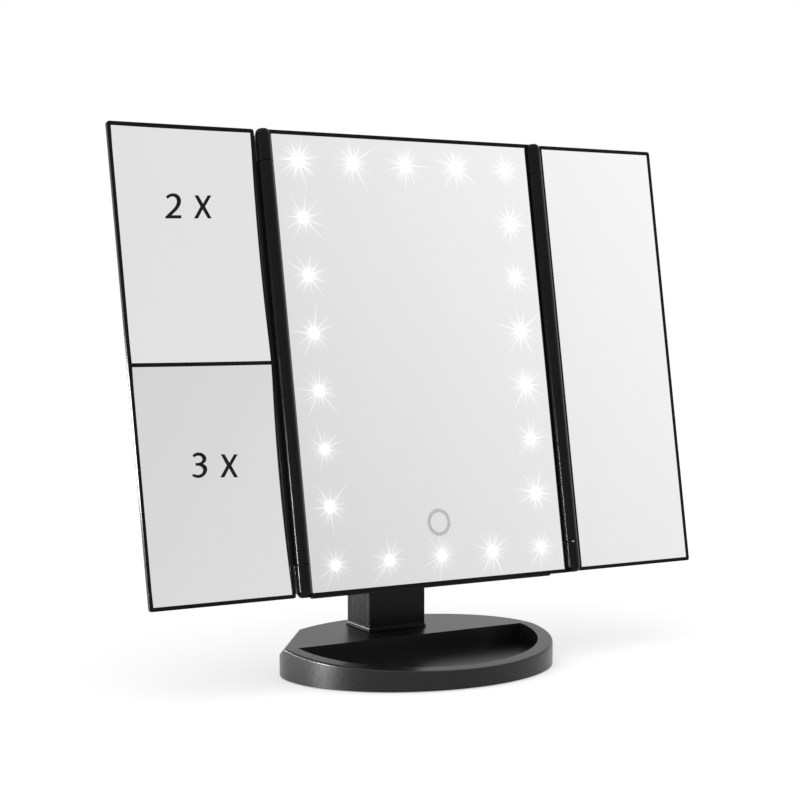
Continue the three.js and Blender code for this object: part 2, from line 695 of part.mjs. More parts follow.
function makeEndLedBoard(end) {
  const y = end * LED_END_Y;
  const half = LED_BOARD.width / 2;
  const reach = LED_SIDE_X - half - 2 * GAP;
  const board = box(-reach, reach, y - half, y + half, BOARD_BACK_Z, BOARD_BACK_Z + LED_BOARD.thickness);
  const pitch = LED_SIDE_X / 2;
  const middle = (LEDS_PER_END - 1) / 2;
  const leds = Array.from({ length: LEDS_PER_END }, (_, i) => led((i - middle) * pitch, y));
  return union(board, ...leds);
}

const CONTROL_BOARD_FRONT = FRAME_BACK_Z;
const CONTROL_BOARD_BACK = CONTROL_BOARD_FRONT - CONTROL_BOARD.thickness;

// Sensor disc behind the glass on a stem that stands on the control board.
function makeTouchSensor() {
  return union(
    rod("z", TOUCH.radius, DIFFUSER_BACK_Z, MIRROR_SEAT_Z, 0, TOUCH_Y, 32),
    rod("z", TOUCH.stem, CONTROL_BOARD_FRONT + GAP, MIRROR_SEAT_Z - DIFFUSER_THICKNESS / 2, 0, TOUCH_Y, 12),
  );
}

function makeControlBoard() {
  const board = box(
    -CONTROL_BOARD.halfWidth, CONTROL_BOARD.halfWidth,
    TOUCH_Y - CONTROL_BOARD.halfHeight, TOUCH_Y + CONTROL_BOARD.halfHeight,
    CONTROL_BOARD_BACK, CONTROL_BOARD_FRONT,
  );
  const root = CONTROL_BOARD_FRONT - CONTROL_BOARD.thickness / 2;
  const chips = CHIPS.map(({ x, half, height }) =>
    box(
      x - half, x + half, TOUCH_Y - half, TOUCH_Y + half, root, CONTROL_BOARD_FRONT + height,
    ),
  );
  const choke = rod(
    "z", CHOKE.radius, root, CONTROL_BOARD_FRONT + CHOKE.height, CHOKE.x, TOUCH_Y + CHOKE.rise, 12,
  );
  return union(board, ...chips, choke);
}

function makeUsbSocket() {
  const outer = HUMP_BOTTOM_Y + USB.setback;
  const z0 = HUMP_WALL_Z + USB.rise;
  const shell = box(
    USB.x - USB.halfWidth, USB.x + USB.halfWidth, outer, outer + USB.depth, z0, z0 + USB.height,
  );
  const port = box(
    USB.x - USB.halfWidth + USB.rim, USB.x + USB.halfWidth - USB.rim,
    outer - PAST, outer + USB.depth - 3 * USB.rim, z0 + USB.rim, z0 + USB.height - USB.rim,
  );
  const tongue = box(
    USB.x - USB.halfWidth / 2, USB.x + USB.halfWidth / 2, outer + 2 * USB.rim, outer + USB.depth - USB.rim,
    z0 + 2.5 * USB.rim, z0 + USB.height - 2.5 * USB.rim,
  );
  return union(cut(shell, port), tongue);
}

const SWITCH_BACK_Z = HUMP_WALL_Z + GAP;

function makeSwitchBody() {
  const travelHalf = KNOB.halfHeight + SWITCH.travel / 2 + GAP;
  const body = box(
    SWITCH.x - SWITCH.halfWidth, SWITCH.x + SWITCH.halfWidth,
    TILT.y - SWITCH.halfHeight, TILT.y + SWITCH.halfHeight,
    SWITCH_BACK_Z, SWITCH_BACK_Z + SWITCH.depth,
  );
  const pocket = box(
    SWITCH.x - KNOB.halfWidth - GAP, SWITCH.x + KNOB.halfWidth + GAP,
    TILT.y - travelHalf, TILT.y + travelHalf, SWITCH_BACK_Z - PAST, SWITCH_BACK_Z + SWITCH.pocket,
  );
  return cut(body, pocket);
}

// Shown pushed up, to "on", with two grip grooves.
function makeSwitchKnob() {
  const y = TILT.y + SWITCH.travel / 2;
  const back = HUMP_BACK_Z - KNOB.standout;
  const knob = box(
    SWITCH.x - KNOB.halfWidth, SWITCH.x + KNOB.halfWidth, y - KNOB.halfHeight, y + KNOB.halfHeight,
    back, SWITCH_BACK_Z + SWITCH.pocket - GAP,
  );
  const { offset, halfWidth, depth } = KNOB_GROOVE;
  const grooves = [y - offset, y + offset].map((middle) =>
    box(
      SWITCH.x - PAST, SWITCH.x + PAST, middle - halfWidth, middle + halfWidth, back - PAST, back + depth,
    ),
  );
  return cut(knob, ...grooves);
}

function humpBody() {
  const steps = 3;
  const outline = (d) =>
    roundedRect(
      -HUMP.halfWidth + d, HUMP.halfWidth - d, HUMP_BOTTOM_Y + d, HUMP_TOP_Y - d, HUMP.corner - d,
    );
  const rings = [];
  for (let i = 0; i <= steps; i += 1) {
    const angle = (i / steps) * (Math.PI / 2);
    const inward = HUMP.round * (1 - Math.sin(angle));
    const rise = HUMP.round * (1 - Math.cos(angle));
    rings.push(atHeight(outline(inward), HUMP_BACK_Z + rise));
  }
  rings.push(atHeight(outline(0), COVER_BACK_Z + WELD));
  return toSolid(loft(rings));
}

function coverBody() {
  const steps = 3;
  const rings = [];
  for (let i = 0; i <= steps; i += 1) {
    const angle = (i / steps) * (Math.PI / 2);
    const inward = COVER_ROUND * (1 - Math.sin(angle));
    const rise = COVER_ROUND * (1 - Math.cos(angle));
    rings.push(atHeight(panelOutline(SIDE_SLANT.inset, inward), COVER_BACK_Z + rise));
  }
  rings.push(atHeight(panelOutline(SIDE_SLANT.inset), COVER_FRONT_Z));
  const lip = prism(
    roundedRect(
      -COVER_LIP.halfWidth, COVER_LIP.halfWidth,
      -FRAME_HALF_HEIGHT - COVER_LIP.out, FRAME_HALF_HEIGHT + COVER_LIP.out, COVER_LIP.corner, 2,
    ),
    COVER_FRONT_Z - COVER_LIP.depth,
    COVER_FRONT_Z,
  );
  return union(toSolid(loft(rings)), lip);
}

// The opening that the door closes, with a groove along each side.
function doorSlot(clear) {
  const half = BOX_HALF_WIDTH + DOOR.overlap + clear;
  const bottom = BOX_BOTTOM_Y - DOOR.overlap - clear;
  const top = HUMP_TOP_Y + PAST;
  const inner = HUMP_BACK_Z + DOOR.thickness + clear;
  return union(
    box(-half, half, bottom, top, HUMP_BACK_Z - PAST, inner),
    box(
      -half - DOOR.tongue, half + DOOR.tongue, bottom, top,
      HUMP_BACK_Z + DOOR.tongueLow - clear, HUMP_BACK_Z + DOOR.tongueHigh + clear,
    ),
  );
}

function makeBatteryDoor() {
  const grip = { halfWidth: 12, first: 6, pitch: 2.4, width: 1, depth: 0.5, count: 4 };
  const grooves = Array.from({ length: grip.count }, (_, i) => {
    const y = BOX_BOTTOM_Y + grip.first + i * grip.pitch;
    return box(
      -grip.halfWidth, grip.halfWidth, y, y + grip.width, HUMP_BACK_Z - PAST, HUMP_BACK_Z + grip.depth,
    );
  });
  return cut(doorSlot(0).intersect(humpBody()), ...grooves);
}

function makeRearCover() {
  const roomX = FRAME_OPEN_X - COVER_ROOM_INSET;
  const roomY = FRAME_OPEN_Y - COVER_ROOM_INSET;
  const mainRoom = box(-roomX, roomX, -roomY, roomY, COVER_FLOOR_Z, PAST);
  const humpRoom = box(
    -HUMP.halfWidth + WALL, HUMP.halfWidth - WALL,
    HUMP_BOTTOM_Y + WALL, BOX_BOTTOM_Y - WALL, HUMP_WALL_Z, PAST,
  );
  const boxWalls = box(
    -HUMP.halfWidth, HUMP.halfWidth, BOX_BOTTOM_Y - WALL, HUMP_TOP_Y,
    COVER_BACK_Z - WELD, BOX_FLOOR_Z + BOX_FLOOR_THICKNESS,
  );
  const ledRests = [-1, 1].flatMap((side) => [
    ...[-0.75, 0, 0.75].map((share) => ledRest(side * LED_SIDE_X, share * LED_END_Y)),
    ledRest((side * LED_SIDE_X) / 2, LED_END_Y),
    ledRest((side * LED_SIDE_X) / 2, -LED_END_Y),
  ]);
  const boardPosts = [-1, 1].flatMap((side) =>
    [-1, 1].map((end) =>
      rod(
        "z", BOARD_POST.radius, COVER_FLOOR_Z - WALL / 2, CONTROL_BOARD_BACK - GAP,
        side * (CONTROL_BOARD.halfWidth - BOARD_POST.inset),
        TOUCH_Y + end * (CONTROL_BOARD.halfHeight - BOARD_POST.inset), 12,
      ),
    ),
  );
  const usbShelf = box(
    USB.x - USB.halfWidth, USB.x + USB.halfWidth, HUMP_BOTTOM_Y + WELD, HUMP_BOTTOM_Y + USB.depth,
    HUMP_WALL_Z - WELD, HUMP_WALL_Z + USB.rise - GAP,
  );
  const batteryRoom = box(
    -BOX_HALF_WIDTH, BOX_HALF_WIDTH, BOX_BOTTOM_Y, BOX_TOP_Y, HUMP_BACK_Z - PAST, BOX_FLOOR_Z,
  );
  const usbWindow = box(
    USB.x - USB.halfWidth - GAP, USB.x + USB.halfWidth + GAP, HUMP_BOTTOM_Y - PAST,
    HUMP_BOTTOM_Y + WALL + WELD, HUMP_WALL_Z + USB.rise - GAP, HUMP_WALL_Z + USB.rise + USB.height + GAP,
  );
  const knobHalf = KNOB.halfHeight + SWITCH.travel / 2 + GAP;
  const switchWindow = box(
    SWITCH.x - KNOB.halfWidth - GAP, SWITCH.x + KNOB.halfWidth + GAP,
    TILT.y - knobHalf, TILT.y + knobHalf, HUMP_BACK_Z - PAST, HUMP_WALL_Z + WELD,
  );
  const bracketHoles = [-BRACKET.screwX, BRACKET.screwX].map((x) =>
    rod("z", SCREW_HOLE, HUMP_BACK_Z - PAST, HUMP_WALL_Z + WELD, x, TILT.y, 12),
  );
  const screwSeats = COVER_SCREW_PLACES.map(([x, y]) =>
    rod("z", SCREW_SEAT, COVER_BACK_Z - PAST, COVER_BACK_Z + SCREW.headHeight + GAP, x, y),
  );
  const screwHoles = COVER_SCREW_PLACES.map(([x, y]) =>
    rod("z", SCREW_HOLE, COVER_BACK_Z - PAST, PAST, x, y, 12),
  );
  const shell = cut(union(coverBody(), humpBody()), mainRoom, humpRoom);
  return cut(
    union(shell, boxWalls, ...ledRests, ...boardPosts, usbShelf),
    batteryRoom, doorSlot(GAP), usbWindow, switchWindow, ...bracketHoles, ...screwSeats, ...screwHoles,
  );
}

// A rest behind a light board.
function ledRest(x, y) {
  const half = LED_REST_HALF;
  return box(x - half, x + half, y - half, y + half, COVER_FLOOR_Z - WALL / 2, BOARD_BACK_Z - GAP);
}

// Cell along y with its button end up.
function makeCell() {
  const r = CELL.radius;
  const end = CELL.length;
  const crimp = 0.8;
  const profile = [
    [0, 0],
    [r - crimp, 0],
    [r, crimp],
    [r, end - CELL.nub - crimp],
    [r - crimp, end - CELL.nub],
    [CELL.nubRadius, end - CELL.nub],
    [CELL.nubRadius, end],
    [0, end],
  ].map(([radius, y]) => new THREE.Vector2(radius, y - end / 2));
  return toSolid(new THREE.LatheGeometry(profile, 18));
}

function cellX(i) {
  return (i - (CELLS - 1) / 2) * CELL.pitch;
}

// One contact plate at the bottom (end -1) or top (end 1) of the battery box, alternately coil and stud.
function makeContacts(end) {
  const wallY = end < 0 ? BOX_BOTTOM_Y : BOX_TOP_Y;
  const at = (distance) => wallY - end * distance;
  const plateEnd = GAP + CONTACT.plate;
  const tip = CONTACT.room - GAP;
  const plate = box(
    CONTACT.sideMargin - BOX_HALF_WIDTH, BOX_HALF_WIDTH - CONTACT.sideMargin,
    ...between(at(GAP), at(plateEnd)),
    CELL_Z - CELL.radius + CONTACT.edgeMargin, CELL_Z + CELL.radius - CONTACT.edgeMargin,
  );
  const tips = Array.from({ length: CELLS }, (_, i) => {
    const coil = (i % 2 === 0) === end < 0;
    const height = tip - plateEnd + CONTACT.plate / 2;
    const wide = coil ? CONTACT.radius : CONTACT.tip;
    const radii = end < 0 ? [CONTACT.tip, wide] : [wide, CONTACT.tip];
    const cone = new THREE.CylinderGeometry(...radii, height, 12);
    cone.translate(cellX(i), at(tip - height / 2), CELL_Z);
    return toSolid(cone);
  });
  return union(plate, ...tips);
}

// Wings

// Frame of a wing on its side of the panel, with one pocket per mirror; the rows are [bottom, top] edges.
function makeWingFrame(side, pockets) {
  const [x0, x1] = between(side * WING_INNER_X, side * WING_OUTER_X);
  const h = WING_HALF_HEIGHT;
  const ring = (d, z) => atHeight(roundedRect(x0 + d, x1 - d, -h + d, h - d, WING_CORNER), z);
  const slab = toSolid(
    loft([
      ring(WING_BACK.inset, -WING_THICKNESS),
      ring(WING_BACK.edge, -WING_THICKNESS + WING_BACK.edgeRise),
      ring(0, -WING_SIDE_BAND),
      ring(0, 0),
    ]),
  );
  const barrel = rod(
    "y", BARREL_RADIUS, -BARREL_HALF_HEIGHT, BARREL_HALF_HEIGHT, HINGE_STANDOUT, side * HINGE_X, 32,
  );
  const web = box(
    ...between(side * (HINGE_X + BARREL_RADIUS / 2), side * (WING_INNER_X + WELD)),
    -BARREL_HALF_HEIGHT, BARREL_HALF_HEIGHT, -WING_WEB.back, -WING_WEB.front,
  );
  const floor = -MIRROR_RECESS - WING_MIRROR_THICKNESS - GAP;
  const cuts = pockets.map(([low, high]) => box(x0 + WING_BORDER, x1 - WING_BORDER, low, high, floor, PAST));
  const pinHoles = [-1, 1].map((end) => {
    const reach = between(end * (BARREL_HALF_HEIGHT - PIN_REACH), end * (BARREL_HALF_HEIGHT + PAST));
    return rod("y", PIN_RADIUS + GAP, ...reach, HINGE_STANDOUT, side * HINGE_X, 12);
  });
  return cut(union(slab, barrel, web), ...cuts, ...pinHoles);
}

// Mirror for a pocket, hollow to the front by the radius that magnifies so much, or flat.
function makeWingMirror(side, [low, high], magnification = 1) {
  const inner = side * (WING_INNER_X + WING_BORDER + GAP);
  const outer = side * (WING_OUTER_X - WING_BORDER - GAP);
  const half = Math.abs(outer - inner) / 2;
  const halfHeight = (high - low) / 2 - GAP;
  const cx = (inner + outer) / 2;
  const cy = (high + low) / 2;
  const back = -MIRROR_RECESS - WING_MIRROR_THICKNESS;
  if (magnification === 1) {
    return box(cx - half, cx + half, cy - halfHeight, cy + halfHeight, back, -MIRROR_RECESS);
  }
  const radius = (2 * VIEWING_DISTANCE * magnification) / (magnification - 1);
  const sink = (x, y) => (half ** 2 + halfHeight ** 2 - x ** 2 - y ** 2) / (2 * radius);
  const geometry = new THREE.BoxGeometry(2 * half, 2 * halfHeight, WING_MIRROR_THICKNESS, 8, 10, 1);
  const place = geometry.attributes.position;
  for (let i = 0; i < place.count; i += 1) {
    if (place.getZ(i) > 0) place.setZ(i, place.getZ(i) - sink(place.getX(i), place.getY(i)));
  }
  geometry.translate(cx, cy, back + WING_MIRROR_THICKNESS / 2);
  return toSolid(geometry);
}

function makeHingePin() {
  const half = PIN_REACH + BARREL_GAP / 2 - GAP;
  return rod("y", PIN_RADIUS, -half, half, 0, 0, 12);
}

// Materials

const LOOKS = {
  glossBlack: { color: 0x17171a, roughness: 0.12, metalness: 0 },
  satinBlack: { color: 0x1b1b1e, roughness: 0.45, metalness: 0 },
  mirror: { color: 0xe4e7ea, roughness: 0.02, metalness: 1 },
  rubber: { color: 0x202022, roughness: 0.9, metalness: 0 },
  steel: { color: 0xa8abae, roughness: 0.35, metalness: 1 },
  nickel: { color: 0xc9c6bd, roughness: 0.25, metalness: 1 },
  diffuser: { color: 0xf2f3f5, roughness: 0.6, metalness: 0 },
  whiteBoard: { color: 0xe9ece8, roughness: 0.5, metalness: 0 },
  greenBoard: { color: 0x1f5b33, roughness: 0.5, metalness: 0 },
  cell: { color: 0x3a4a63, roughness: 0.35, metalness: 0.2 },
};

function addMesh(parent, name, solid, look, at = [0, 0, 0], turn = [0, 0, 0]) {
  const mesh = new THREE.Mesh(toGeometry(solid), new THREE.MeshStandardMaterial(LOOKS[look]));
  mesh.name = name;
  mesh.position.set(...at);
  mesh.rotation.set(...turn);
  parent.add(mesh);
}

function addBase(parent) {
  addMesh(parent, "base_shell", makeBaseShell(), "glossBlack");
  addMesh(parent, "base_bottom_plate", makeBottomPlate(), "satinBlack");
  addMesh(parent, "base_ballast", makeBallast(), "steel");
  FOOT_PLACES.forEach(([x, y], i) => {
    addMesh(parent, `base_foot_${i + 1}`, makeFoot(), "rubber", [x, y, 0]);
  });
  BASE_SCREW_PLACES.forEach(([x, y], i) => {
    addMesh(parent, `base_screw_${i + 1}`, screw(BASE_SCREW_LENGTH), "steel", [x, y, FOOT_STANDOUT]);
  });
}

function addPost(parent) {
  addMesh(parent, "post", makePost(), "glossBlack");
  [-1, 1].forEach((side, i) => {
    addMesh(
      parent, `post_screw_${i + 1}`, screw(POST_SCREW_LENGTH), "steel",
      [side * POST_SCREW_X, POST_MID_Y, POST_MID_TOP - POST_PAD.thickness - GAP - SCREW.headHeight],
    );
  });
  const axis = [0, POST_MID_Y, TILT_AXIS_HEIGHT];
  const washerX = LUG.halfWidth + GAP + WASHER.thickness / 2;
  addMesh(parent, "tilt_bolt", makeTiltBolt(), "nickel", axis);
  addMesh(parent, "tilt_nut", makeTiltNut(), "nickel", axis);
  addMesh(parent, "tilt_washer_left", makeWasher(), "steel", [-washerX, POST_MID_Y, TILT_AXIS_HEIGHT]);
  addMesh(parent, "tilt_washer_right", makeWasher(), "steel", [washerX, POST_MID_Y, TILT_AXIS_HEIGHT]);
}

function addLights(head) {
  addMesh(head, "led_board_left", makeSideLedBoard(-1), "whiteBoard");
  addMesh(head, "led_board_right", makeSideLedBoard(1), "whiteBoard");
  addMesh(head, "led_board_top", makeEndLedBoard(1), "whiteBoard");
  addMesh(head, "led_board_bottom", makeEndLedBoard(-1), "whiteBoard");
  addMesh(head, "diffuser_sheet", makeDiffuser(), "diffuser");
}

function addBatteryBox(head) {
  addMesh(head, "battery_door", makeBatteryDoor(), "satinBlack");
  addMesh(head, "battery_contacts_bottom", makeContacts(-1), "nickel");
  addMesh(head, "battery_contacts_top", makeContacts(1), "nickel");
  for (let i = 0; i < CELLS; i += 1) {
    addMesh(
      head, `battery_cell_${i + 1}`, makeCell(), "cell",
      [cellX(i), (BOX_BOTTOM_Y + BOX_TOP_Y) / 2, CELL_Z], [0, 0, i % 2 === 0 ? 0 : Math.PI],
    );
  }
}

function addCentrePanel(head) {
  addMesh(head, "front_frame", makeFrontFrame(), "glossBlack");
  addMesh(head, "centre_mirror", makeCentreMirror(), "mirror");
  addLights(head);
  addMesh(head, "touch_sensor", makeTouchSensor(), "nickel");
  addMesh(head, "control_board", makeControlBoard(), "greenBoard");
  addMesh(head, "usb_socket", makeUsbSocket(), "nickel");
  addMesh(head, "switch_body", makeSwitchBody(), "satinBlack");
  addMesh(head, "switch_knob", makeSwitchKnob(), "satinBlack");
  addMesh(head, "rear_cover", makeRearCover(), "satinBlack");
  COVER_SCREW_PLACES.forEach(([x, y], i) => {
    addMesh(
      head, `cover_screw_${i + 1}`, screw(COVER_SCREW_LENGTH), "steel", [x, y, COVER_BACK_Z],
    );
  });
  addBatteryBox(head);
  addMesh(head, "tilt_bracket", makeTiltBracket(), "satinBlack");
  const bracketScrewLength = WALL + BRACKET.thickness - BRACKET.skin;
  [-1, 1].forEach((side, i) => {
    addMesh(
      head, `bracket_screw_${i + 1}`, screw(bracketScrewLength), "steel",
      [side * BRACKET.screwX, TILT.y, HUMP_WALL_Z + GAP + SCREW.headHeight], [Math.PI, 0, 0],
    );
  });
}

function addWings(head) {
  const edge = WING_HALF_HEIGHT - WING_BORDER;
  const upper = [DIVIDER / 2, edge];
  const lower = [-edge, -DIVIDER / 2];
  const whole = [-edge, edge];
  addMesh(head, "left_wing_frame", makeWingFrame(-1, [lower, upper]), "glossBlack");
  addMesh(head, "mirror_2x", makeWingMirror(-1, upper, 2), "mirror");
  addMesh(head, "mirror_3x", makeWingMirror(-1, lower, 3), "mirror");
  addMesh(head, "right_wing_frame", makeWingFrame(1, [whole]), "glossBlack");
  addMesh(head, "mirror_right", makeWingMirror(1, whole), "mirror");
  const pinY = BARREL_HALF_HEIGHT + BARREL_GAP / 2;
  for (const [sideName, side] of [["left", -1], ["right", 1]]) {
    for (const [endName, end] of [["top", 1], ["bottom", -1]]) {
      addMesh(
        head, `hinge_pin_${sideName}_${endName}`, makeHingePin(), "steel",
        [side * HINGE_X, end * pinY, HINGE_STANDOUT],
      );
    }
  }
}

const mirror = new THREE.Group();
addBase(mirror);
addPost(mirror);
const head = new THREE.Group();
head.position.set(0, HEAD_CENTRE.y, HEAD_CENTRE.z);
head.rotation.x = Math.PI / 2 - HEAD_TILT;
addCentrePanel(head);
addWings(head);
mirror.add(head);

export default mirror;
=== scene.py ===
"""A lighted make-up mirror with two folding wings on a stand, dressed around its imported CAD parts."""

import json
import math

import bmesh
import bpy
from mathutils import Matrix, Vector, geometry

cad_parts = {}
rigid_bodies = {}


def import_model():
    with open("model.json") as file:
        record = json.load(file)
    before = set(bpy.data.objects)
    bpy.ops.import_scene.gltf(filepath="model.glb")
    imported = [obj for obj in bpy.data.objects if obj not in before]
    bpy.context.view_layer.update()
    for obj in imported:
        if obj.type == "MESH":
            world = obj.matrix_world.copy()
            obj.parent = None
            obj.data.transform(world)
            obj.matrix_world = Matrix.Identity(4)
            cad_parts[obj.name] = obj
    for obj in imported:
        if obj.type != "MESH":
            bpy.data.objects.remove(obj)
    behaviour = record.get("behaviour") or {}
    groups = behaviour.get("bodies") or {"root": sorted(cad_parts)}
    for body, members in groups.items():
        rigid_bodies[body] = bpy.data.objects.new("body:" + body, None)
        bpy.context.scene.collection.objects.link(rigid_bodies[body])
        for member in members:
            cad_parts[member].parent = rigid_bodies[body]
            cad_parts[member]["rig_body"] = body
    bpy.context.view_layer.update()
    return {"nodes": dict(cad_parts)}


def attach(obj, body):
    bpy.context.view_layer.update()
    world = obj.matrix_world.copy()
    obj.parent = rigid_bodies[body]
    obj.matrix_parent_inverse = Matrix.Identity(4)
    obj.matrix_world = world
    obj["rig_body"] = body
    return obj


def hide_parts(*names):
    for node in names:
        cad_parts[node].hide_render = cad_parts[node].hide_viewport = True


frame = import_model()

MM = 0.001

# Radius of the softened edges of mouldings
EDGE_RADIUS = 0.35 * MM

# Welding and smoothing of the finer copies, in metres and degrees
WELD_DISTANCE = 2e-6
FLAT_ANGLE = 0.4
SMOOTH_ANGLE = 32
GLASS_SMOOTH_ANGLE = 30
PRINT_SMOOTH_ANGLE = 50

# Even light from the room, and what the floor adds to read white
AMBIENT = 0.6
FLOOR_LIFT = 0.48

# The room as gloss shows it: its level and lower bound, where it is darkest from left to right, its slopes
ROOM = {"level": 0.615, "least": 0.6, "darkest": 0.465, "right": 1.150, "left": -0.500, "up": 0.556}

# Soft light from above
SKY = {"place": (-0.5, -0.25, 1.0), "strength": 0.55, "spread": 60}

# Low lamps that only gloss shows: name, place, width and height, power
STRIPS = (
    ("left_strip", (-1.25, 0.0676, 0.1), (0.3, 0.18), 42),
    ("back_strip", (-0.585, 0.5436, 0.065), (0.92, 0.13), 9),
)

# Camera, fitted to the photograph
CAMERA_PLACE = (-0.52566, -0.82154, 0.19846)
CAMERA_PITCH = math.radians(-6.63)
CAMERA_YAW = math.radians(-31.95)
CAMERA_LENS = 80.57
CAMERA_SENSOR = 36.0
CAMERA_SHIFT = 0.14375

# The panel plane of the head: x across, v up the glass, n out of it
HEAD_ORIGIN = (0.0, -3.15 * MM, 170 * MM)
HEAD_TILT = math.radians(10.12)
PANEL_TURN = math.pi / 2 - HEAD_TILT
PANEL = Matrix.Translation(HEAD_ORIGIN) @ Matrix.Rotation(PANEL_TURN, 4, "X")
GLASS_FACE = -0.25 * MM

# Lamps behind the centre glass, in a column at each side and three between those at each end
LAMPS_PER_SIDE = 8
LAMP_SIDE_X = 66.3
LAMP_END_V = 106.5
LAMP_COLUMN_PITCH = 2 * LAMP_END_V / (LAMPS_PER_SIDE - 1)
LAMP_ROW_PITCH = LAMP_SIDE_X / 2

# Their light on the glass, in millimetres: rays (count, reach, half width), core and halo; the rays are
# painted glare, and the halo and the core past each window are a painted glow
LONG_PAINTED_GLARE_RAYS = (11, 18.5, 0.42)
SHORT_PAINTED_GLARE_RAYS = (23, 12.5, 0.34)
PAINTED_GLARE_LIGHT = 0.22
CORE = {"full": 1.8, "gone": 4.0, "fall": 1.6, "light": 0.5}
PAINTED_HALO = {"radius": 6.5, "light": 0.06}
# The painted glare and glow round the lamp in the upper left corner are larger than round the others
LARGEST_PAINTED_STAR = {"left_of": -50.0, "above": 90.0, "more": 0.3}

# Concave glasses of the left wing: middle and half sizes on the panel, magnification
VIEWING_DISTANCE = 350.0
GLASS_THICKNESS = 3.0
CONCAVE = {
    "mirror_2x": {"middle": (-131.8, 60.325), "half": (38.55, 59.325), "magnification": 2},
    "mirror_3x": {"middle": (-131.8, -60.325), "half": (38.55, 59.325), "magnification": 3},
}

# Printed marks: first point of the base line, and the steps of one unit to the right and up
MARKS = {
    "mark_2x": {"glass": "mirror_2x", "digit": "2", "start": (-144.64, 74.0),
                "right": (0.556, 0.0145), "up": (0.046, 0.508)},
    "mark_3x": {"glass": "mirror_3x", "digit": "3", "start": (-142.61, -56.6),
                "right": (0.555, -0.028), "up": (0.047, 0.502)},
}
MARK_HEIGHT = 0.05
LETTER_STEP = 28.6  # from the digit to the letter after it
# Outlines in those units; a third value marks a corner, the rest are joined by a curve
GLYPHS = {
    "2": [
        (0.6, 22.0, 1), (2.4, 23.4), (5.0, 24.7), (7.8, 25.1), (10.7, 24.6), (13.3, 23.0),
        (14.9, 20.7), (15.6, 17.9), (15.3, 15.0), (14.2, 12.1), (12.0, 8.9), (8.8, 5.7),
        (6.4, 3.2, 1), (15.9, 3.2, 1), (15.9, 0.0, 1), (0.2, 0.0, 1), (0.0, 1.7, 1),
        (2.4, 4.1), (5.6, 7.3), (8.2, 9.9), (10.1, 12.4), (11.2, 15.0), (11.5, 17.2),
        (11.0, 19.5), (9.8, 21.0), (7.8, 21.9), (5.6, 21.7), (3.8, 20.7), (2.4, 19.4, 1),
    ],
    "3": [
        (0.9, 22.1, 1), (2.7, 23.7), (5.2, 24.7), (8.0, 24.9), (10.8, 24.0), (13.4, 22.1),
        (14.6, 19.5), (14.5, 17.2), (13.4, 15.2), (11.3, 13.6, 1), (13.9, 12.1), (15.3, 9.6),
        (15.4, 6.8), (14.1, 3.7), (11.8, 1.2), (8.8, -0.3), (5.7, -0.5), (2.7, 0.2),
        (0.5, 1.5, 1), (1.5, 3.6, 1), (3.7, 2.8), (6.0, 2.5), (8.5, 2.9), (10.6, 4.5),
        (11.4, 6.8), (11.1, 8.8), (9.5, 10.6), (7.2, 11.5), (4.2, 11.6, 1), (3.7, 14.3, 1),
        (6.2, 14.5), (8.5, 15.0), (10.2, 16.5), (10.7, 18.3), (10.0, 20.2), (8.3, 21.4),
        (6.0, 21.6), (3.9, 20.9), (2.4, 19.8, 1),
    ],
    "X": [
        (0.5, 23.3, 1), (4.3, 23.3, 1), (9.1, 14.9, 1), (13.8, 23.3, 1), (17.5, 23.3, 1),
        (11.1, 12.0, 1), (17.8, 0.0, 1), (13.9, 0.0, 1), (8.7, 9.1, 1), (4.0, 0.0, 1),
        (0.0, 0.0, 1), (6.5, 12.0, 1),
    ],
}

# Printed ring of the touch control, and the windows over the lamps
TOUCH = {"v": -88.3, "outer": 7.35, "inner": 5.35, "height": 0.05}
WINDOW = {"radius": 2.2, "height": 0.06}
PRINT_BELOW = -0.03  # how deep a print is sunk in the glass
PRINT_EDGE = 0.12


# Mesh helpers

def new_object(name, mesh, body, materials=()):
    piece = bpy.data.objects.new(name, mesh)
    bpy.context.scene.collection.objects.link(piece)
    for material in materials:
        mesh.materials.append(material)
    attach(piece, body)
    return piece


def shade(bm, sharp_degrees):
    """Smooth faces that part only at edges sharper than the angle."""
    for face in bm.faces:
        face.smooth = True
    for edge in bm.edges:
        edge.smooth = edge.calc_face_angle(math.pi) < math.radians(sharp_degrees)


def finished_mesh(bm, name):
    mesh = bpy.data.meshes.new(name)
    bm.to_mesh(mesh)
    bm.free()
    if "custom_normal" in mesh.attributes:
        mesh.attributes.remove(mesh.attributes["custom_normal"])
    return mesh


def panel_point(x, v, n):
    """A point given in millimetres on the head's panel, in the row frame."""
    return PANEL @ Vector((x * MM, v * MM, n * MM))


# Shader helpers

def feed(tree, socket, value):
    """Gives an input a value, or links another node's output to it."""
    if isinstance(value, bpy.types.NodeSocket):
        tree.links.new(value, socket)
    else:
        socket.default_value = value


def add(tree, kind, inputs=None, **settings):
    """A shader node with its settings, and inputs given as values or as another node's output."""
    node = tree.nodes.new("ShaderNode" + kind)
    for key, value in settings.items():
        setattr(node, key, value)
    for key, value in (inputs or {}).items():
        feed(tree, node.inputs[key], value)
    return node


def maths(tree, operation, *values, clamp=False):
    inputs = dict(enumerate(values))
    return add(tree, "Math", inputs, operation=operation, use_clamp=clamp).outputs[0]


def vectors(tree, operation, *values, output=0):
    inputs = dict(enumerate(values))
    return add(tree, "VectorMath", inputs, operation=operation).outputs[output]


def ramp(tree, value, low, high, to_low=0.0, to_high=1.0):
    """The value taken from low..high to to_low..to_high, held at the ends."""
    inputs = {0: value, 1: low, 2: high, 3: to_low, 4: to_high}
    return add(tree, "MapRange", inputs).outputs[0]


def place(tree):
    """Coordinates in metres in the piece's own frame, which is the row frame at rest."""
    return add(tree, "TexCoord").outputs["Object"]


def noise(tree, vector, scale, detail=2.0, roughness=0.5):
    inputs = {"Vector": vector, "Scale": scale, "Detail": detail, "Roughness": roughness}
    return add(tree, "TexNoise", inputs).outputs[0]


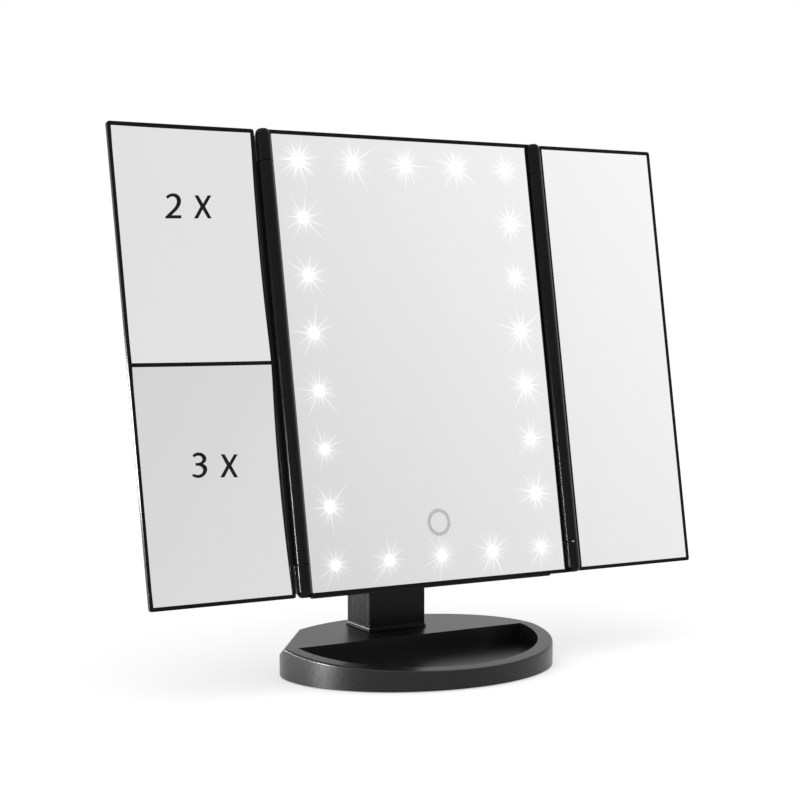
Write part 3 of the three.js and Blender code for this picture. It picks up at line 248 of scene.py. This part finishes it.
def uneven(tree, pattern, *ends):
    """A noise pattern stretched so that it reaches from one end to the other."""
    return ramp(tree, pattern, 0.3, 0.7, *ends)


def blend_colour(tree, factor, first, second):
    return add(tree, "Mix", {0: factor, 6: first, 7: second}, data_type="RGBA").outputs[2]


def grey(level, warm=0.0):
    return (level * (1 + warm), level, level * (1 - warm), 1)


def new_material(name):
    material = bpy.data.materials.new(name)
    material.use_nodes = True
    tree = material.node_tree
    return material, tree, tree.nodes["Principled BSDF"]


def connect(tree, shader, **inputs):
    """Feeds a shader's inputs, named with _ for each blank."""
    for key, value in inputs.items():
        feed(tree, shader.inputs[key.replace("_", " ")], value)


def bump(tree, height, distance, normal=None):
    inputs = {"Height": height, "Distance": distance, "Strength": 1.0}
    if normal is not None:
        inputs["Normal"] = normal
    return add(tree, "Bump", inputs).outputs[0]


def on_panel(tree):
    """Coordinates in metres on the head's panel."""
    inputs = {"Vector": place(tree), "Location": HEAD_ORIGIN, "Rotation": (PANEL_TURN, 0, 0)}
    return add(tree, "Mapping", inputs, vector_type="TEXTURE").outputs[0]


def soft_edges(tree):
    """A normal that turns round the sharp edges of a moulding with a small radius."""
    return add(tree, "Bevel", {"Radius": EDGE_RADIUS}, samples=6).outputs[0]


# Materials

def plastic(name, tones, roughness, specular, grain, grain_height, streaks=(1, 1, 1), patch=140):
    """Black moulded plastic: cloudy tone, uneven gloss and a fine skin of the given grain."""
    dark, light = (grey(tone) for tone in tones)
    material, tree, shader = new_material(name)
    point = place(tree)
    cloud = noise(tree, point, 22, 3)
    wear = noise(tree, vectors(tree, "MULTIPLY", point, streaks), patch, 4, 0.6)
    skin = noise(tree, vectors(tree, "MULTIPLY", point, streaks), grain, 2)
    tone = maths(tree, "ADD", maths(tree, "MULTIPLY", cloud, 0.7), maths(tree, "MULTIPLY", wear, 0.3))
    connect(
        tree, shader,
        Base_Color=blend_colour(tree, uneven(tree, tone), dark, light),
        Roughness=ramp(tree, wear, 0.25, 0.75, *roughness),
        Normal=bump(tree, skin, grain_height, soft_edges(tree)),
    )
    shader.inputs["Specular IOR Level"].default_value = specular
    return material


def soft_rubber(name):
    """Dull dark rubber with a little dust."""
    material, tree, shader = new_material(name)
    point = place(tree)
    dust = noise(tree, point, 90, 4, 0.65)
    connect(
        tree, shader,
        Base_Color=blend_colour(tree, ramp(tree, dust, 0.4, 0.75), grey(0.012), grey(0.035)),
        Roughness=uneven(tree, dust, 0.75, 0.92),
        Normal=bump(tree, noise(tree, point, 2600, 2), 0.00006),
    )
    shader.inputs["Specular IOR Level"].default_value = 0.3
    return material


def metal(name, tone, warm, smooth, rough, stretch):
    """Metal with drawn or turned marks along one axis."""
    material, tree, shader = new_material(name)
    point = place(tree)
    marks = noise(tree, vectors(tree, "MULTIPLY", point, stretch), 1, 3, 0.6)
    stain = uneven(tree, noise(tree, point, 260, 3))
    connect(
        tree, shader,
        Base_Color=blend_colour(tree, stain, grey(tone * 0.86, warm), grey(tone, warm)),
        Roughness=uneven(tree, marks, smooth, rough),
        Normal=bump(tree, marks, 0.000015),
    )
    shader.inputs["Metallic"].default_value = 1.0
    return material


def circuit_board(name, mask, trace):
    """Lacquered board: solder mask with slightly lighter tracks under it."""
    material, tree, shader = new_material(name)
    point = place(tree)
    pattern = {"Vector": point, "Scale": 160.0, "Mortar Size": 0.03}
    brick = add(tree, "TexBrick", pattern).outputs["Fac"]
    haze = noise(tree, point, 400, 2)
    tracks = maths(tree, "MULTIPLY", brick, 0.6)
    connect(
        tree, shader,
        Base_Color=blend_colour(tree, tracks, mask, trace),
        Roughness=uneven(tree, haze, 0.28, 0.45),
        Normal=bump(tree, tracks, 0.00003),
    )
    return material


def battery_wrap(name):
    """Creased shrink sleeve over a cell, dark below the middle line of the panel and blue above it."""
    material, tree, shader = new_material(name)
    along = add(tree, "SeparateXYZ", {0: on_panel(tree)}).outputs[1]
    sleeve = ramp(tree, along, -0.5 * MM, 0.5 * MM)
    crease = noise(tree, vectors(tree, "MULTIPLY", place(tree), (500.0, 500.0, 90.0)), 1, 3)
    connect(
        tree, shader,
        Base_Color=blend_colour(tree, sleeve, (0.02, 0.025, 0.03, 1), (0.05, 0.08, 0.14, 1)),
        Roughness=uneven(tree, crease, 0.22, 0.4),
        Normal=bump(tree, crease, 0.00004),
    )
    return material


def milky(name, tone, emission=0.0):
    """White diffusing plastic."""
    material, tree, shader = new_material(name)
    point = place(tree)
    cloud = noise(tree, point, 180, 3)
    colour = blend_colour(tree, uneven(tree, cloud), grey(tone * 0.96), grey(tone))
    connect(
        tree, shader,
        Base_Color=colour,
        Roughness=uneven(tree, cloud, 0.45, 0.6),
        Normal=bump(tree, noise(tree, point, 2200, 2), 0.00004),
    )
    if emission:
        connect(tree, shader, Emission_Color=colour, Emission_Strength=emission)
    return material


def lamp_offsets(tree, x, v):
    """The offset in millimetres from the nearest lamp, and a number triple that names that lamp."""
    row = maths(tree, "FLOOR", maths(tree, "DIVIDE", v, LAMP_COLUMN_PITCH))
    row_middle = maths(tree, "MULTIPLY", maths(tree, "ADD", row, 0.5), LAMP_COLUMN_PITCH)
    side = add(
        tree, "CombineXYZ",
        {0: maths(tree, "SUBTRACT", maths(tree, "ABSOLUTE", x), LAMP_SIDE_X),
         1: maths(tree, "SUBTRACT", v, row_middle)},
    ).outputs[0]
    side_name = add(tree, "CombineXYZ", {0: maths(tree, "SIGN", x), 1: row, 2: 1.0}).outputs[0]
    column = maths(tree, "ROUND", maths(tree, "DIVIDE", x, LAMP_ROW_PITCH))
    end = add(
        tree, "CombineXYZ",
        {0: maths(tree, "SUBTRACT", x, maths(tree, "MULTIPLY", column, LAMP_ROW_PITCH)),
         1: maths(tree, "SUBTRACT", maths(tree, "ABSOLUTE", v), LAMP_END_V)},
    ).outputs[0]
    end_name = add(tree, "CombineXYZ", {0: column, 1: maths(tree, "SIGN", v), 2: 2.0}).outputs[0]
    inner = maths(tree, "LESS_THAN", maths(tree, "ABSOLUTE", x), LAMP_SIDE_X - LAMP_ROW_PITCH / 2)
    chosen = []
    for first, second in ((side, end), (side_name, end_name)):
        mix = add(tree, "Mix", {0: inner, 4: first, 5: second}, data_type="VECTOR")
        chosen.append(mix.outputs[1])
    return chosen


def painted_glare_rays(tree, turn, radius, name, count, reach, half_width):
    """Painted glare: thin rays round a lamp, one in each of so many equal angles, turned and cut short by
    chance.
    """
    share = maths(tree, "MULTIPLY", turn, count / (2 * math.pi))
    sector = maths(tree, "FLOOR", share)
    key = vectors(tree, "ADD", name, add(tree, "CombineXYZ", {0: sector, 1: count, 2: reach}).outputs[0])
    chance = add(tree, "TexWhiteNoise", {"Vector": key}, noise_dimensions="3D").outputs
    parts = add(tree, "SeparateColor", {0: chance[1]}).outputs
    axis = ramp(tree, parts[0], 0.0, 1.0, 0.3, 0.7)
    off = maths(tree, "SUBTRACT", maths(tree, "SUBTRACT", share, sector), axis)
    gap = maths(tree, "MULTIPLY", maths(tree, "ABSOLUTE", off), radius)
    gap = maths(tree, "MULTIPLY", gap, 2 * math.pi / count)
    length = ramp(tree, maths(tree, "POWER", parts[1], 1.6), 0.0, 1.0, 0.5 * reach, reach)
    along = maths(tree, "DIVIDE", radius, length)
    line = ramp(tree, gap, half_width * 0.35, half_width, 1.0, 0.0)
    fade = ramp(tree, along, 0.35, 1.0, 1.0, 0.0)
    return maths(tree, "MULTIPLY", line, fade)


def lamp_light_painted_glow_and_glare(tree):
    """Light through the silvering over the lamps, spread past their windows as painted glow: a white core,
    a faint halo and thin rays of painted glare.
    """
    scaled = vectors(tree, "MULTIPLY", on_panel(tree), (1000.0, 1000.0, 1000.0))
    x, v = add(tree, "SeparateXYZ", {0: scaled}).outputs[:2]
    offset, name = lamp_offsets(tree, x, v)
    chance = add(tree, "TexWhiteNoise", {"Vector": name}, noise_dimensions="3D").outputs
    left = maths(tree, "LESS_THAN", x, LARGEST_PAINTED_STAR["left_of"])
    upper = maths(tree, "GREATER_THAN", v, LARGEST_PAINTED_STAR["above"])
    more = maths(tree, "MULTIPLY", maths(tree, "MULTIPLY", left, upper), LARGEST_PAINTED_STAR["more"])
    size = maths(tree, "ADD", ramp(tree, chance[0], 0.0, 1.0, 0.9, 1.1), more)
    radius = maths(tree, "DIVIDE", vectors(tree, "LENGTH", offset, output=1), size)
    parts = add(tree, "SeparateXYZ", {0: offset}).outputs
    turn = maths(tree, "ADD", maths(tree, "ARCTAN2", parts[1], parts[0]), math.pi)
    # Painted glare: thin rays of light painted on the glass round each lamp
    long_painted_rays = painted_glare_rays(tree, turn, radius, name, *LONG_PAINTED_GLARE_RAYS)
    short_painted_rays = painted_glare_rays(tree, turn, radius, name, *SHORT_PAINTED_GLARE_RAYS)
    painted_glare = maths(tree, "MULTIPLY", maths(tree, "MAXIMUM", long_painted_rays, short_painted_rays), PAINTED_GLARE_LIGHT)
    # Painted glow: a faint halo of light painted on the glass round each lamp
    spread = maths(tree, "POWER", maths(tree, "DIVIDE", radius, PAINTED_HALO["radius"]), 2.0)
    painted_halo = maths(tree, "EXPONENT", maths(tree, "MULTIPLY", spread, -1.0))
    painted_halo = maths(tree, "MULTIPLY", painted_halo, PAINTED_HALO["light"])
    # The white core, which reaches past the lamp window as painted glow
    core = maths(tree, "POWER", ramp(tree, radius, CORE["gone"], CORE["full"]), CORE["fall"])
    core = maths(tree, "MULTIPLY", core, CORE["light"])
    return maths(tree, "ADD", maths(tree, "ADD", painted_glare, painted_halo), core, clamp=True)


def mirror(name, lit=False):
    """Silvered glass with faint wiping marks; the lit one lets the lamps through, with painted glow and
    glare round them.
    """
    material, tree, shader = new_material(name)
    point = place(tree)
    wipes = noise(tree, vectors(tree, "MULTIPLY", point, (26.0, 26.0, 9.0)), 1, 4, 0.6)
    connect(
        tree, shader,
        Base_Color=blend_colour(tree, uneven(tree, wipes), grey(0.922), grey(0.934)),
        Roughness=ramp(tree, wipes, 0.35, 0.75, 0.012, 0.03),
    )
    shader.inputs["Metallic"].default_value = 1.0
    if lit:
        # Emission of the lamps' light with painted glow and glare round them
        light = lamp_light_painted_glow_and_glare(tree)
        colour = add(tree, "CombineColor", {0: light, 1: light, 2: light}).outputs[0]
        connect(tree, shader, Emission_Color=colour, Emission_Strength=1.0)
    return material


def print_ink(name, tone):
    """Screen-printed ink with slightly uneven cover."""
    material, tree, shader = new_material(name)
    point = place(tree)
    cover = noise(tree, point, 900, 3)
    connect(
        tree, shader,
        Base_Color=blend_colour(tree, uneven(tree, cover), grey(tone * 0.85), grey(tone)),
        Roughness=uneven(tree, cover, 0.5, 0.65),
        Normal=bump(tree, cover, 0.00001),
    )
    shader.inputs["Specular IOR Level"].default_value = 0.15
    return material


MATERIALS = {
    "gloss_black_plastic": plastic(
        "gloss_black_plastic", tones=(0.004, 0.007), roughness=(0.13, 0.24), specular=0.1,
        grain=700, grain_height=0.000012,
    ),
    "satin_black_plastic": plastic(
        "satin_black_plastic", tones=(0.009, 0.014), roughness=(0.36, 0.5), specular=0.25,
        grain=1700, grain_height=0.00003,
    ),
    "mirror_glass": mirror("mirror_glass"),
    "rubber": soft_rubber("rubber"),
    "steel": metal("steel", 0.56, 0.0, 0.22, 0.42, (300.0, 300.0, 2500.0)),
    "nickel": metal("nickel", 0.68, 0.02, 0.1, 0.24, (2200.0, 300.0, 300.0)),
    "diffuser_plastic": milky("diffuser_plastic", 0.86),
    "white_board": circuit_board("white_board", grey(0.78), grey(0.6)),
    "green_board": circuit_board("green_board", (0.018, 0.10, 0.035, 1), (0.03, 0.16, 0.06, 1)),
    "battery_sleeve": battery_wrap("battery_sleeve"),
}
BASE_PLASTIC = plastic(
    "base_plastic", tones=(0.006, 0.01), roughness=(0.26, 0.34), specular=0.3,
    grain=1500, grain_height=0.000012, patch=700,
)
POST_PLASTIC = plastic(
    "post_plastic", tones=(0.003, 0.006), roughness=(0.16, 0.3), specular=0.13,
    grain=900, grain_height=0.00002, streaks=(6, 6, 0.4),
)
DARK_PIN = metal("dark_pin", 0.08, 0.0, 0.35, 0.5, (300.0, 300.0, 2500.0))
# The centre glass, with painted glow and glare round its lamps
LIT_MIRROR_PAINTED_GLARE = mirror("lit_mirror_glass_painted_glare", lit=True)
LAMP_WINDOW = milky("lamp_window", 0.95, emission=1.0)
RING_INK = print_ink("touch_ring_ink", 0.82)
MARK_INK = print_ink("mark_ink", 0.006)


# CAD nodes with their materials, and finer copies of the outer ones

REFINED = (
    "base_shell", "post", "front_frame", "left_wing_frame", "right_wing_frame",
    "rear_cover", "battery_door", "tilt_bracket",
)
OWN_LOOKS = {"base_shell": BASE_PLASTIC, "post": POST_PLASTIC, "centre_mirror": LIT_MIRROR_PAINTED_GLARE}


def slot_of(node):
    return node.data.materials[0].name.split(".")[0]


def dress(name, node):
    """Puts the node's own look on it, or else that of its slot."""
    material = OWN_LOOKS.get(name, MATERIALS[slots[name]])
    if "hinge_pin" in name:
        material = DARK_PIN
    for at in range(len(node.data.materials)):
        node.data.materials[at] = material


def refine(name):
    """A welded copy of a node's mesh with smooth curves and weighted normals, shown in its stead."""
    node = frame["nodes"][name]
    bm = bmesh.new()
    bm.from_mesh(node.data)
    bmesh.ops.remove_doubles(bm, verts=bm.verts, dist=WELD_DISTANCE)
    flat = math.radians(FLAT_ANGLE)
    bmesh.ops.dissolve_limit(bm, angle_limit=flat, verts=bm.verts, edges=bm.edges)
    shade(bm, SMOOTH_ANGLE)
    fine = name + "_fine"
    look = node.data.materials[0]
    piece = new_object(fine, finished_mesh(bm, fine), node["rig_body"], [look])
    weighted = piece.modifiers.new("normals", "WEIGHTED_NORMAL")
    weighted.keep_sharp = True
    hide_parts(name)


slots = {name: slot_of(node) for name, node in frame["nodes"].items()}
for node_name, cad_node in frame["nodes"].items():
    dress(node_name, cad_node)
for refined_name in REFINED:
    refine(refined_name)


# Concave glasses

def sink(glass, x, v):
    """How far the concave face of a glass lies behind its rim at a point of the panel, in millimetres."""
    half_x, half_v = glass["half"]
    from_x = x - glass["middle"][0]
    from_v = v - glass["middle"][1]
    radius = 2 * VIEWING_DISTANCE * glass["magnification"] / (glass["magnification"] - 1)
    return (half_x ** 2 + half_v ** 2 - from_x ** 2 - from_v ** 2) / (2 * radius)


def spaced(middle, half, steps):
    """Places at equal steps from one edge to the other."""
    return [middle + half * (2 * at / steps - 1) for at in range(steps + 1)]


def rim_of(grid):
    """The outer members of a grid, once round."""
    right = [line[-1] for line in grid[1:-1]]
    left = [line[0] for line in grid[-2:0:-1]]
    return grid[0] + right + grid[-1][::-1] + left


def concave_mesh(name, glass, columns=26, rows=40):
    """The glass with its face on a fine grid, so that it curves smoothly."""
    face = GLASS_FACE / MM
    across = spaced(glass["middle"][0], glass["half"][0], columns)
    places = [[(x, v) for x in across] for v in spaced(glass["middle"][1], glass["half"][1], rows)]
    bm = bmesh.new()
    grid = []
    for line in places:
        grid.append([bm.verts.new(panel_point(x, v, face - sink(glass, x, v))) for x, v in line])
    for low, high in zip(grid, grid[1:]):
        for at in range(columns):
            bm.faces.new((low[at], low[at + 1], high[at + 1], high[at]))
    rim = rim_of(grid)
    back = [bm.verts.new(panel_point(x, v, face - GLASS_THICKNESS)) for x, v in rim_of(places)]
    for at in range(len(rim)):
        after = (at + 1) % len(rim)
        bm.faces.new((rim[after], rim[at], back[at], back[after]))
    bm.faces.new(back[::-1])
    bmesh.ops.recalc_face_normals(bm, faces=bm.faces)
    shade(bm, GLASS_SMOOTH_ANGLE)
    return finished_mesh(bm, name)


for glass_name, glass in CONCAVE.items():
    fine_name = glass_name + "_fine"
    fine_mesh = concave_mesh(fine_name, glass)
    fine_glass = new_object(
        fine_name, fine_mesh, "left_wing", [MATERIALS["mirror_glass"]],
    )
    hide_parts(glass_name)


# Lamp windows, touch ring and marks

def outer_edge(radius, height):
    return [(radius, PRINT_BELOW), (radius, height * 0.4), (radius - PRINT_EDGE, height)]


def dome_profile(radius, height):
    """Radius and rise from the edge to the middle of a low dome."""
    return outer_edge(radius, height) + [(radius * 0.6, height * 1.15), (0.0, height * 1.2)]


def ring_profile(outer, inner, height):
    """Radius and rise from the outer to the inner edge of a printed ring."""
    inside = [(inner + PRINT_EDGE, height), (inner, height * 0.4), (inner, PRINT_BELOW)]
    return outer_edge(outer, height) + inside


def print_mesh(name, centre_x, centre_v, profile, segments):
    """A thin closed body turned on the glass: a ring, or a dome if its profile ends at the middle."""
    bm = bmesh.new()
    face = GLASS_FACE / MM
    domed = profile[-1][0] == 0.0
    rings = []
    for radius, rise in profile:
        if radius == 0.0:
            rings.append([bm.verts.new(panel_point(centre_x, centre_v, face + rise))])
            continue
        ring = []
        for at in range(segments):
            turn = 2 * math.pi * at / segments
            x = centre_x + radius * math.cos(turn)
            v = centre_v + radius * math.sin(turn)
            ring.append(bm.verts.new(panel_point(x, v, face + rise)))
        rings.append(ring)
    pairs = list(zip(rings, rings[1:]))
    if not domed:
        pairs.append((rings[-1], rings[0]))
    for low, high in pairs:
        for at in range(segments):
            after = (at + 1) % segments
            if len(high) == 1:
                bm.faces.new((low[at], low[after], high[0]))
            else:
                bm.faces.new((low[at], low[after], high[after], high[at]))
    if domed:
        bm.faces.new(rings[0][::-1])
    bmesh.ops.recalc_face_normals(bm, faces=bm.faces)
    shade(bm, PRINT_SMOOTH_ANGLE)
    return finished_mesh(bm, name)


def lamp_places():
    places = []
    for row in range(LAMPS_PER_SIDE):
        v = -LAMP_END_V + row * LAMP_COLUMN_PITCH
        places += [(-LAMP_SIDE_X, v), (LAMP_SIDE_X, v)]
    for x in (-LAMP_ROW_PITCH, 0, LAMP_ROW_PITCH):
        places += [(x, -LAMP_END_V), (x, LAMP_END_V)]
    return places


window_profile = dome_profile(WINDOW["radius"], WINDOW["height"])
for number, (lamp_x, lamp_v) in enumerate(lamp_places(), 1):
    window = "lamp_window_" + str(number)
    window_mesh = print_mesh(window, lamp_x, lamp_v, window_profile, 48)
    new_object(window, window_mesh, "head", [LAMP_WINDOW])

touch_profile = ring_profile(TOUCH["outer"], TOUCH["inner"], TOUCH["height"])
touch_mesh = print_mesh("touch_ring", 0, TOUCH["v"], touch_profile, 64)
new_object("touch_ring", touch_mesh, "head", [RING_INK])


def smooth_outline(points, steps=4):
    """The outline with curves through the points between its corners."""
    count = len(points)
    outline = []
    for at in range(count):
        here = points[at]
        after = points[(at + 1) % count]
        outline.append(Vector(here[:2]))
        if len(here) == 3 and len(after) == 3:
            continue
        before = here if len(here) == 3 else points[at - 1]
        beyond = after if len(after) == 3 else points[(at + 2) % count]
        a, b, c, d = (Vector(point[:2]) for point in (before, here, after, beyond))
        for step in range(1, steps):
            t = step / steps
            outline.append(
                0.5 * (2 * b + (c - a) * t + (2 * a - 5 * b + 4 * c - d) * t ** 2
                       + (3 * b - a - 3 * c + d) * t ** 3)
            )
    return outline


def glyph_into(bm, outline, mark, glass):
    """A thin closed body of ink with this outline, lying on the curved glass."""
    floors = []
    tops = []
    for point in outline:
        x = mark["start"][0] + point.x * mark["right"][0] + point.y * mark["up"][0]
        v = mark["start"][1] + point.x * mark["right"][1] + point.y * mark["up"][1]
        face = GLASS_FACE / MM - sink(glass, x, v)
        floors.append(bm.verts.new(panel_point(x, v, face - MARK_HEIGHT)))
        tops.append(bm.verts.new(panel_point(x, v, face + MARK_HEIGHT)))
    flat = [Vector((point.x, point.y, 0)) for point in outline]
    for a, b, c in geometry.tessellate_polygon([flat]):
        bm.faces.new((tops[a], tops[b], tops[c]))
        bm.faces.new((floors[c], floors[b], floors[a]))
    for at in range(len(outline)):
        after = (at + 1) % len(outline)
        bm.faces.new((floors[at], floors[after], tops[after], tops[at]))


for mark_name, mark in MARKS.items():
    bm = bmesh.new()
    shifted = [(x + LETTER_STEP, *rest) for x, *rest in GLYPHS["X"]]
    for points in (GLYPHS[mark["digit"]], shifted):
        glyph_into(bm, smooth_outline(points), mark, CONCAVE[mark["glass"]])
    bmesh.ops.recalc_face_normals(bm, faces=bm.faces)
    new_object(mark_name, finished_mesh(bm, mark_name), "left_wing", [MARK_INK])


# Studio

def make_camera():
    data = bpy.data.cameras.new("camera")
    data.lens = CAMERA_LENS
    data.sensor_width = CAMERA_SENSOR
    data.shift_y = CAMERA_SHIFT
    data.clip_start = 0.01
    data.clip_end = 50
    camera = bpy.data.objects.new("camera", data)
    camera.location = CAMERA_PLACE
    camera.rotation_euler = (math.pi / 2 + CAMERA_PITCH, 0, CAMERA_YAW)
    bpy.context.scene.collection.objects.link(camera)
    bpy.context.scene.camera = camera


def shown_rays(tree, path):
    """One for rays from the camera and for those that gloss or glass sends on, else nought."""
    seen = maths(tree, "MAXIMUM", path["Is Camera Ray"], path["Is Glossy Ray"])
    return maths(tree, "MAXIMUM", seen, path["Is Transmission Ray"])


def make_world():
    """Plain even light, white to the camera, and for gloss a studio a little darker low and left."""
    world = bpy.data.worlds.new("studio")
    bpy.context.scene.world = world
    world.use_nodes = True
    tree = world.node_tree
    tree.nodes.clear()
    path = add(tree, "LightPath").outputs
    seen = shown_rays(tree, path)
    way = add(tree, "SeparateXYZ", {0: add(tree, "TexCoord").outputs["Generated"]}).outputs
    off_side = maths(tree, "SUBTRACT", way[0], ROOM["darkest"])
    right = maths(tree, "MULTIPLY", maths(tree, "MAXIMUM", off_side, 0.0), ROOM["right"])
    left = maths(tree, "MULTIPLY", maths(tree, "MINIMUM", off_side, 0.0), ROOM["left"])
    upward = maths(tree, "MULTIPLY", way[2], ROOM["up"])
    sides = maths(tree, "ADD", right, left)
    room = maths(tree, "ADD", maths(tree, "ADD", sides, upward), ROOM["level"])
    room = maths(tree, "MINIMUM", maths(tree, "MAXIMUM", room, ROOM["least"]), 1.0)
    backdrop = maths(tree, "MAXIMUM", path["Is Camera Ray"], room)
    ambient = add(tree, "Background", {"Color": grey(1.0), "Strength": AMBIENT})
    bright = add(tree, "Background", {"Color": grey(1.0), "Strength": backdrop})
    mix = add(tree, "MixShader", {0: seen, 1: ambient.outputs[0], 2: bright.outputs[0]})
    output = add(tree, "OutputWorld")
    tree.links.new(mix.outputs[0], output.inputs[0])


def make_floor():
    """A wide pale floor that keeps the shadow and reads white."""
    bm = bmesh.new()
    bmesh.ops.create_grid(bm, x_segments=8, y_segments=8, size=6)
    mesh = finished_mesh(bm, "floor")
    floor = bpy.data.objects.new("floor", mesh)
    bpy.context.scene.collection.objects.link(floor)
    material = bpy.data.materials.new("floor")
    material.use_nodes = True
    tree = material.node_tree
    tree.nodes.clear()
    seen = shown_rays(tree, add(tree, "LightPath").outputs)
    diffuse = add(tree, "BsdfDiffuse", {"Color": grey(0.8)})
    strength = maths(tree, "MULTIPLY", seen, FLOOR_LIFT)
    lift = add(tree, "Emission", {"Color": grey(1.0), "Strength": strength})
    both = add(tree, "AddShader", {0: diffuse.outputs[0], 1: lift.outputs[0]})
    output = add(tree, "OutputMaterial")
    tree.links.new(both.outputs[0], output.inputs[0])
    mesh.materials.append(material)


def add_lamp(name, data, place_at, aim):
    lamp = bpy.data.objects.new(name, data)
    lamp.location = place_at
    way = Vector(aim) - Vector(place_at)
    lamp.rotation_euler = way.to_track_quat("-Z", "Y").to_euler()
    lamp.visible_camera = False
    bpy.context.scene.collection.objects.link(lamp)
    return lamp


def sun_lamp(name, place_at, strength, spread):
    data = bpy.data.lights.new(name, "SUN")
    data.energy = strength
    data.angle = math.radians(spread)
    add_lamp(name, data, place_at, (0, 0, 0))


def area_lamp(name, place_at, aim, size, power):
    data = bpy.data.lights.new(name, "AREA")
    data.shape = "RECTANGLE"
    data.size, data.size_y = size
    data.energy = power
    return add_lamp(name, data, place_at, aim)


make_camera()
make_world()
make_floor()
sun_lamp("sky", SKY["place"], SKY["strength"], SKY["spread"])
for lamp_name, lamp_at, lamp_size, lamp_power in STRIPS:
    area_lamp(lamp_name, lamp_at, (0, 0, lamp_at[2]), lamp_size, lamp_power).visible_diffuse = False
bpy.context.scene.view_settings.view_transform = "Standard"
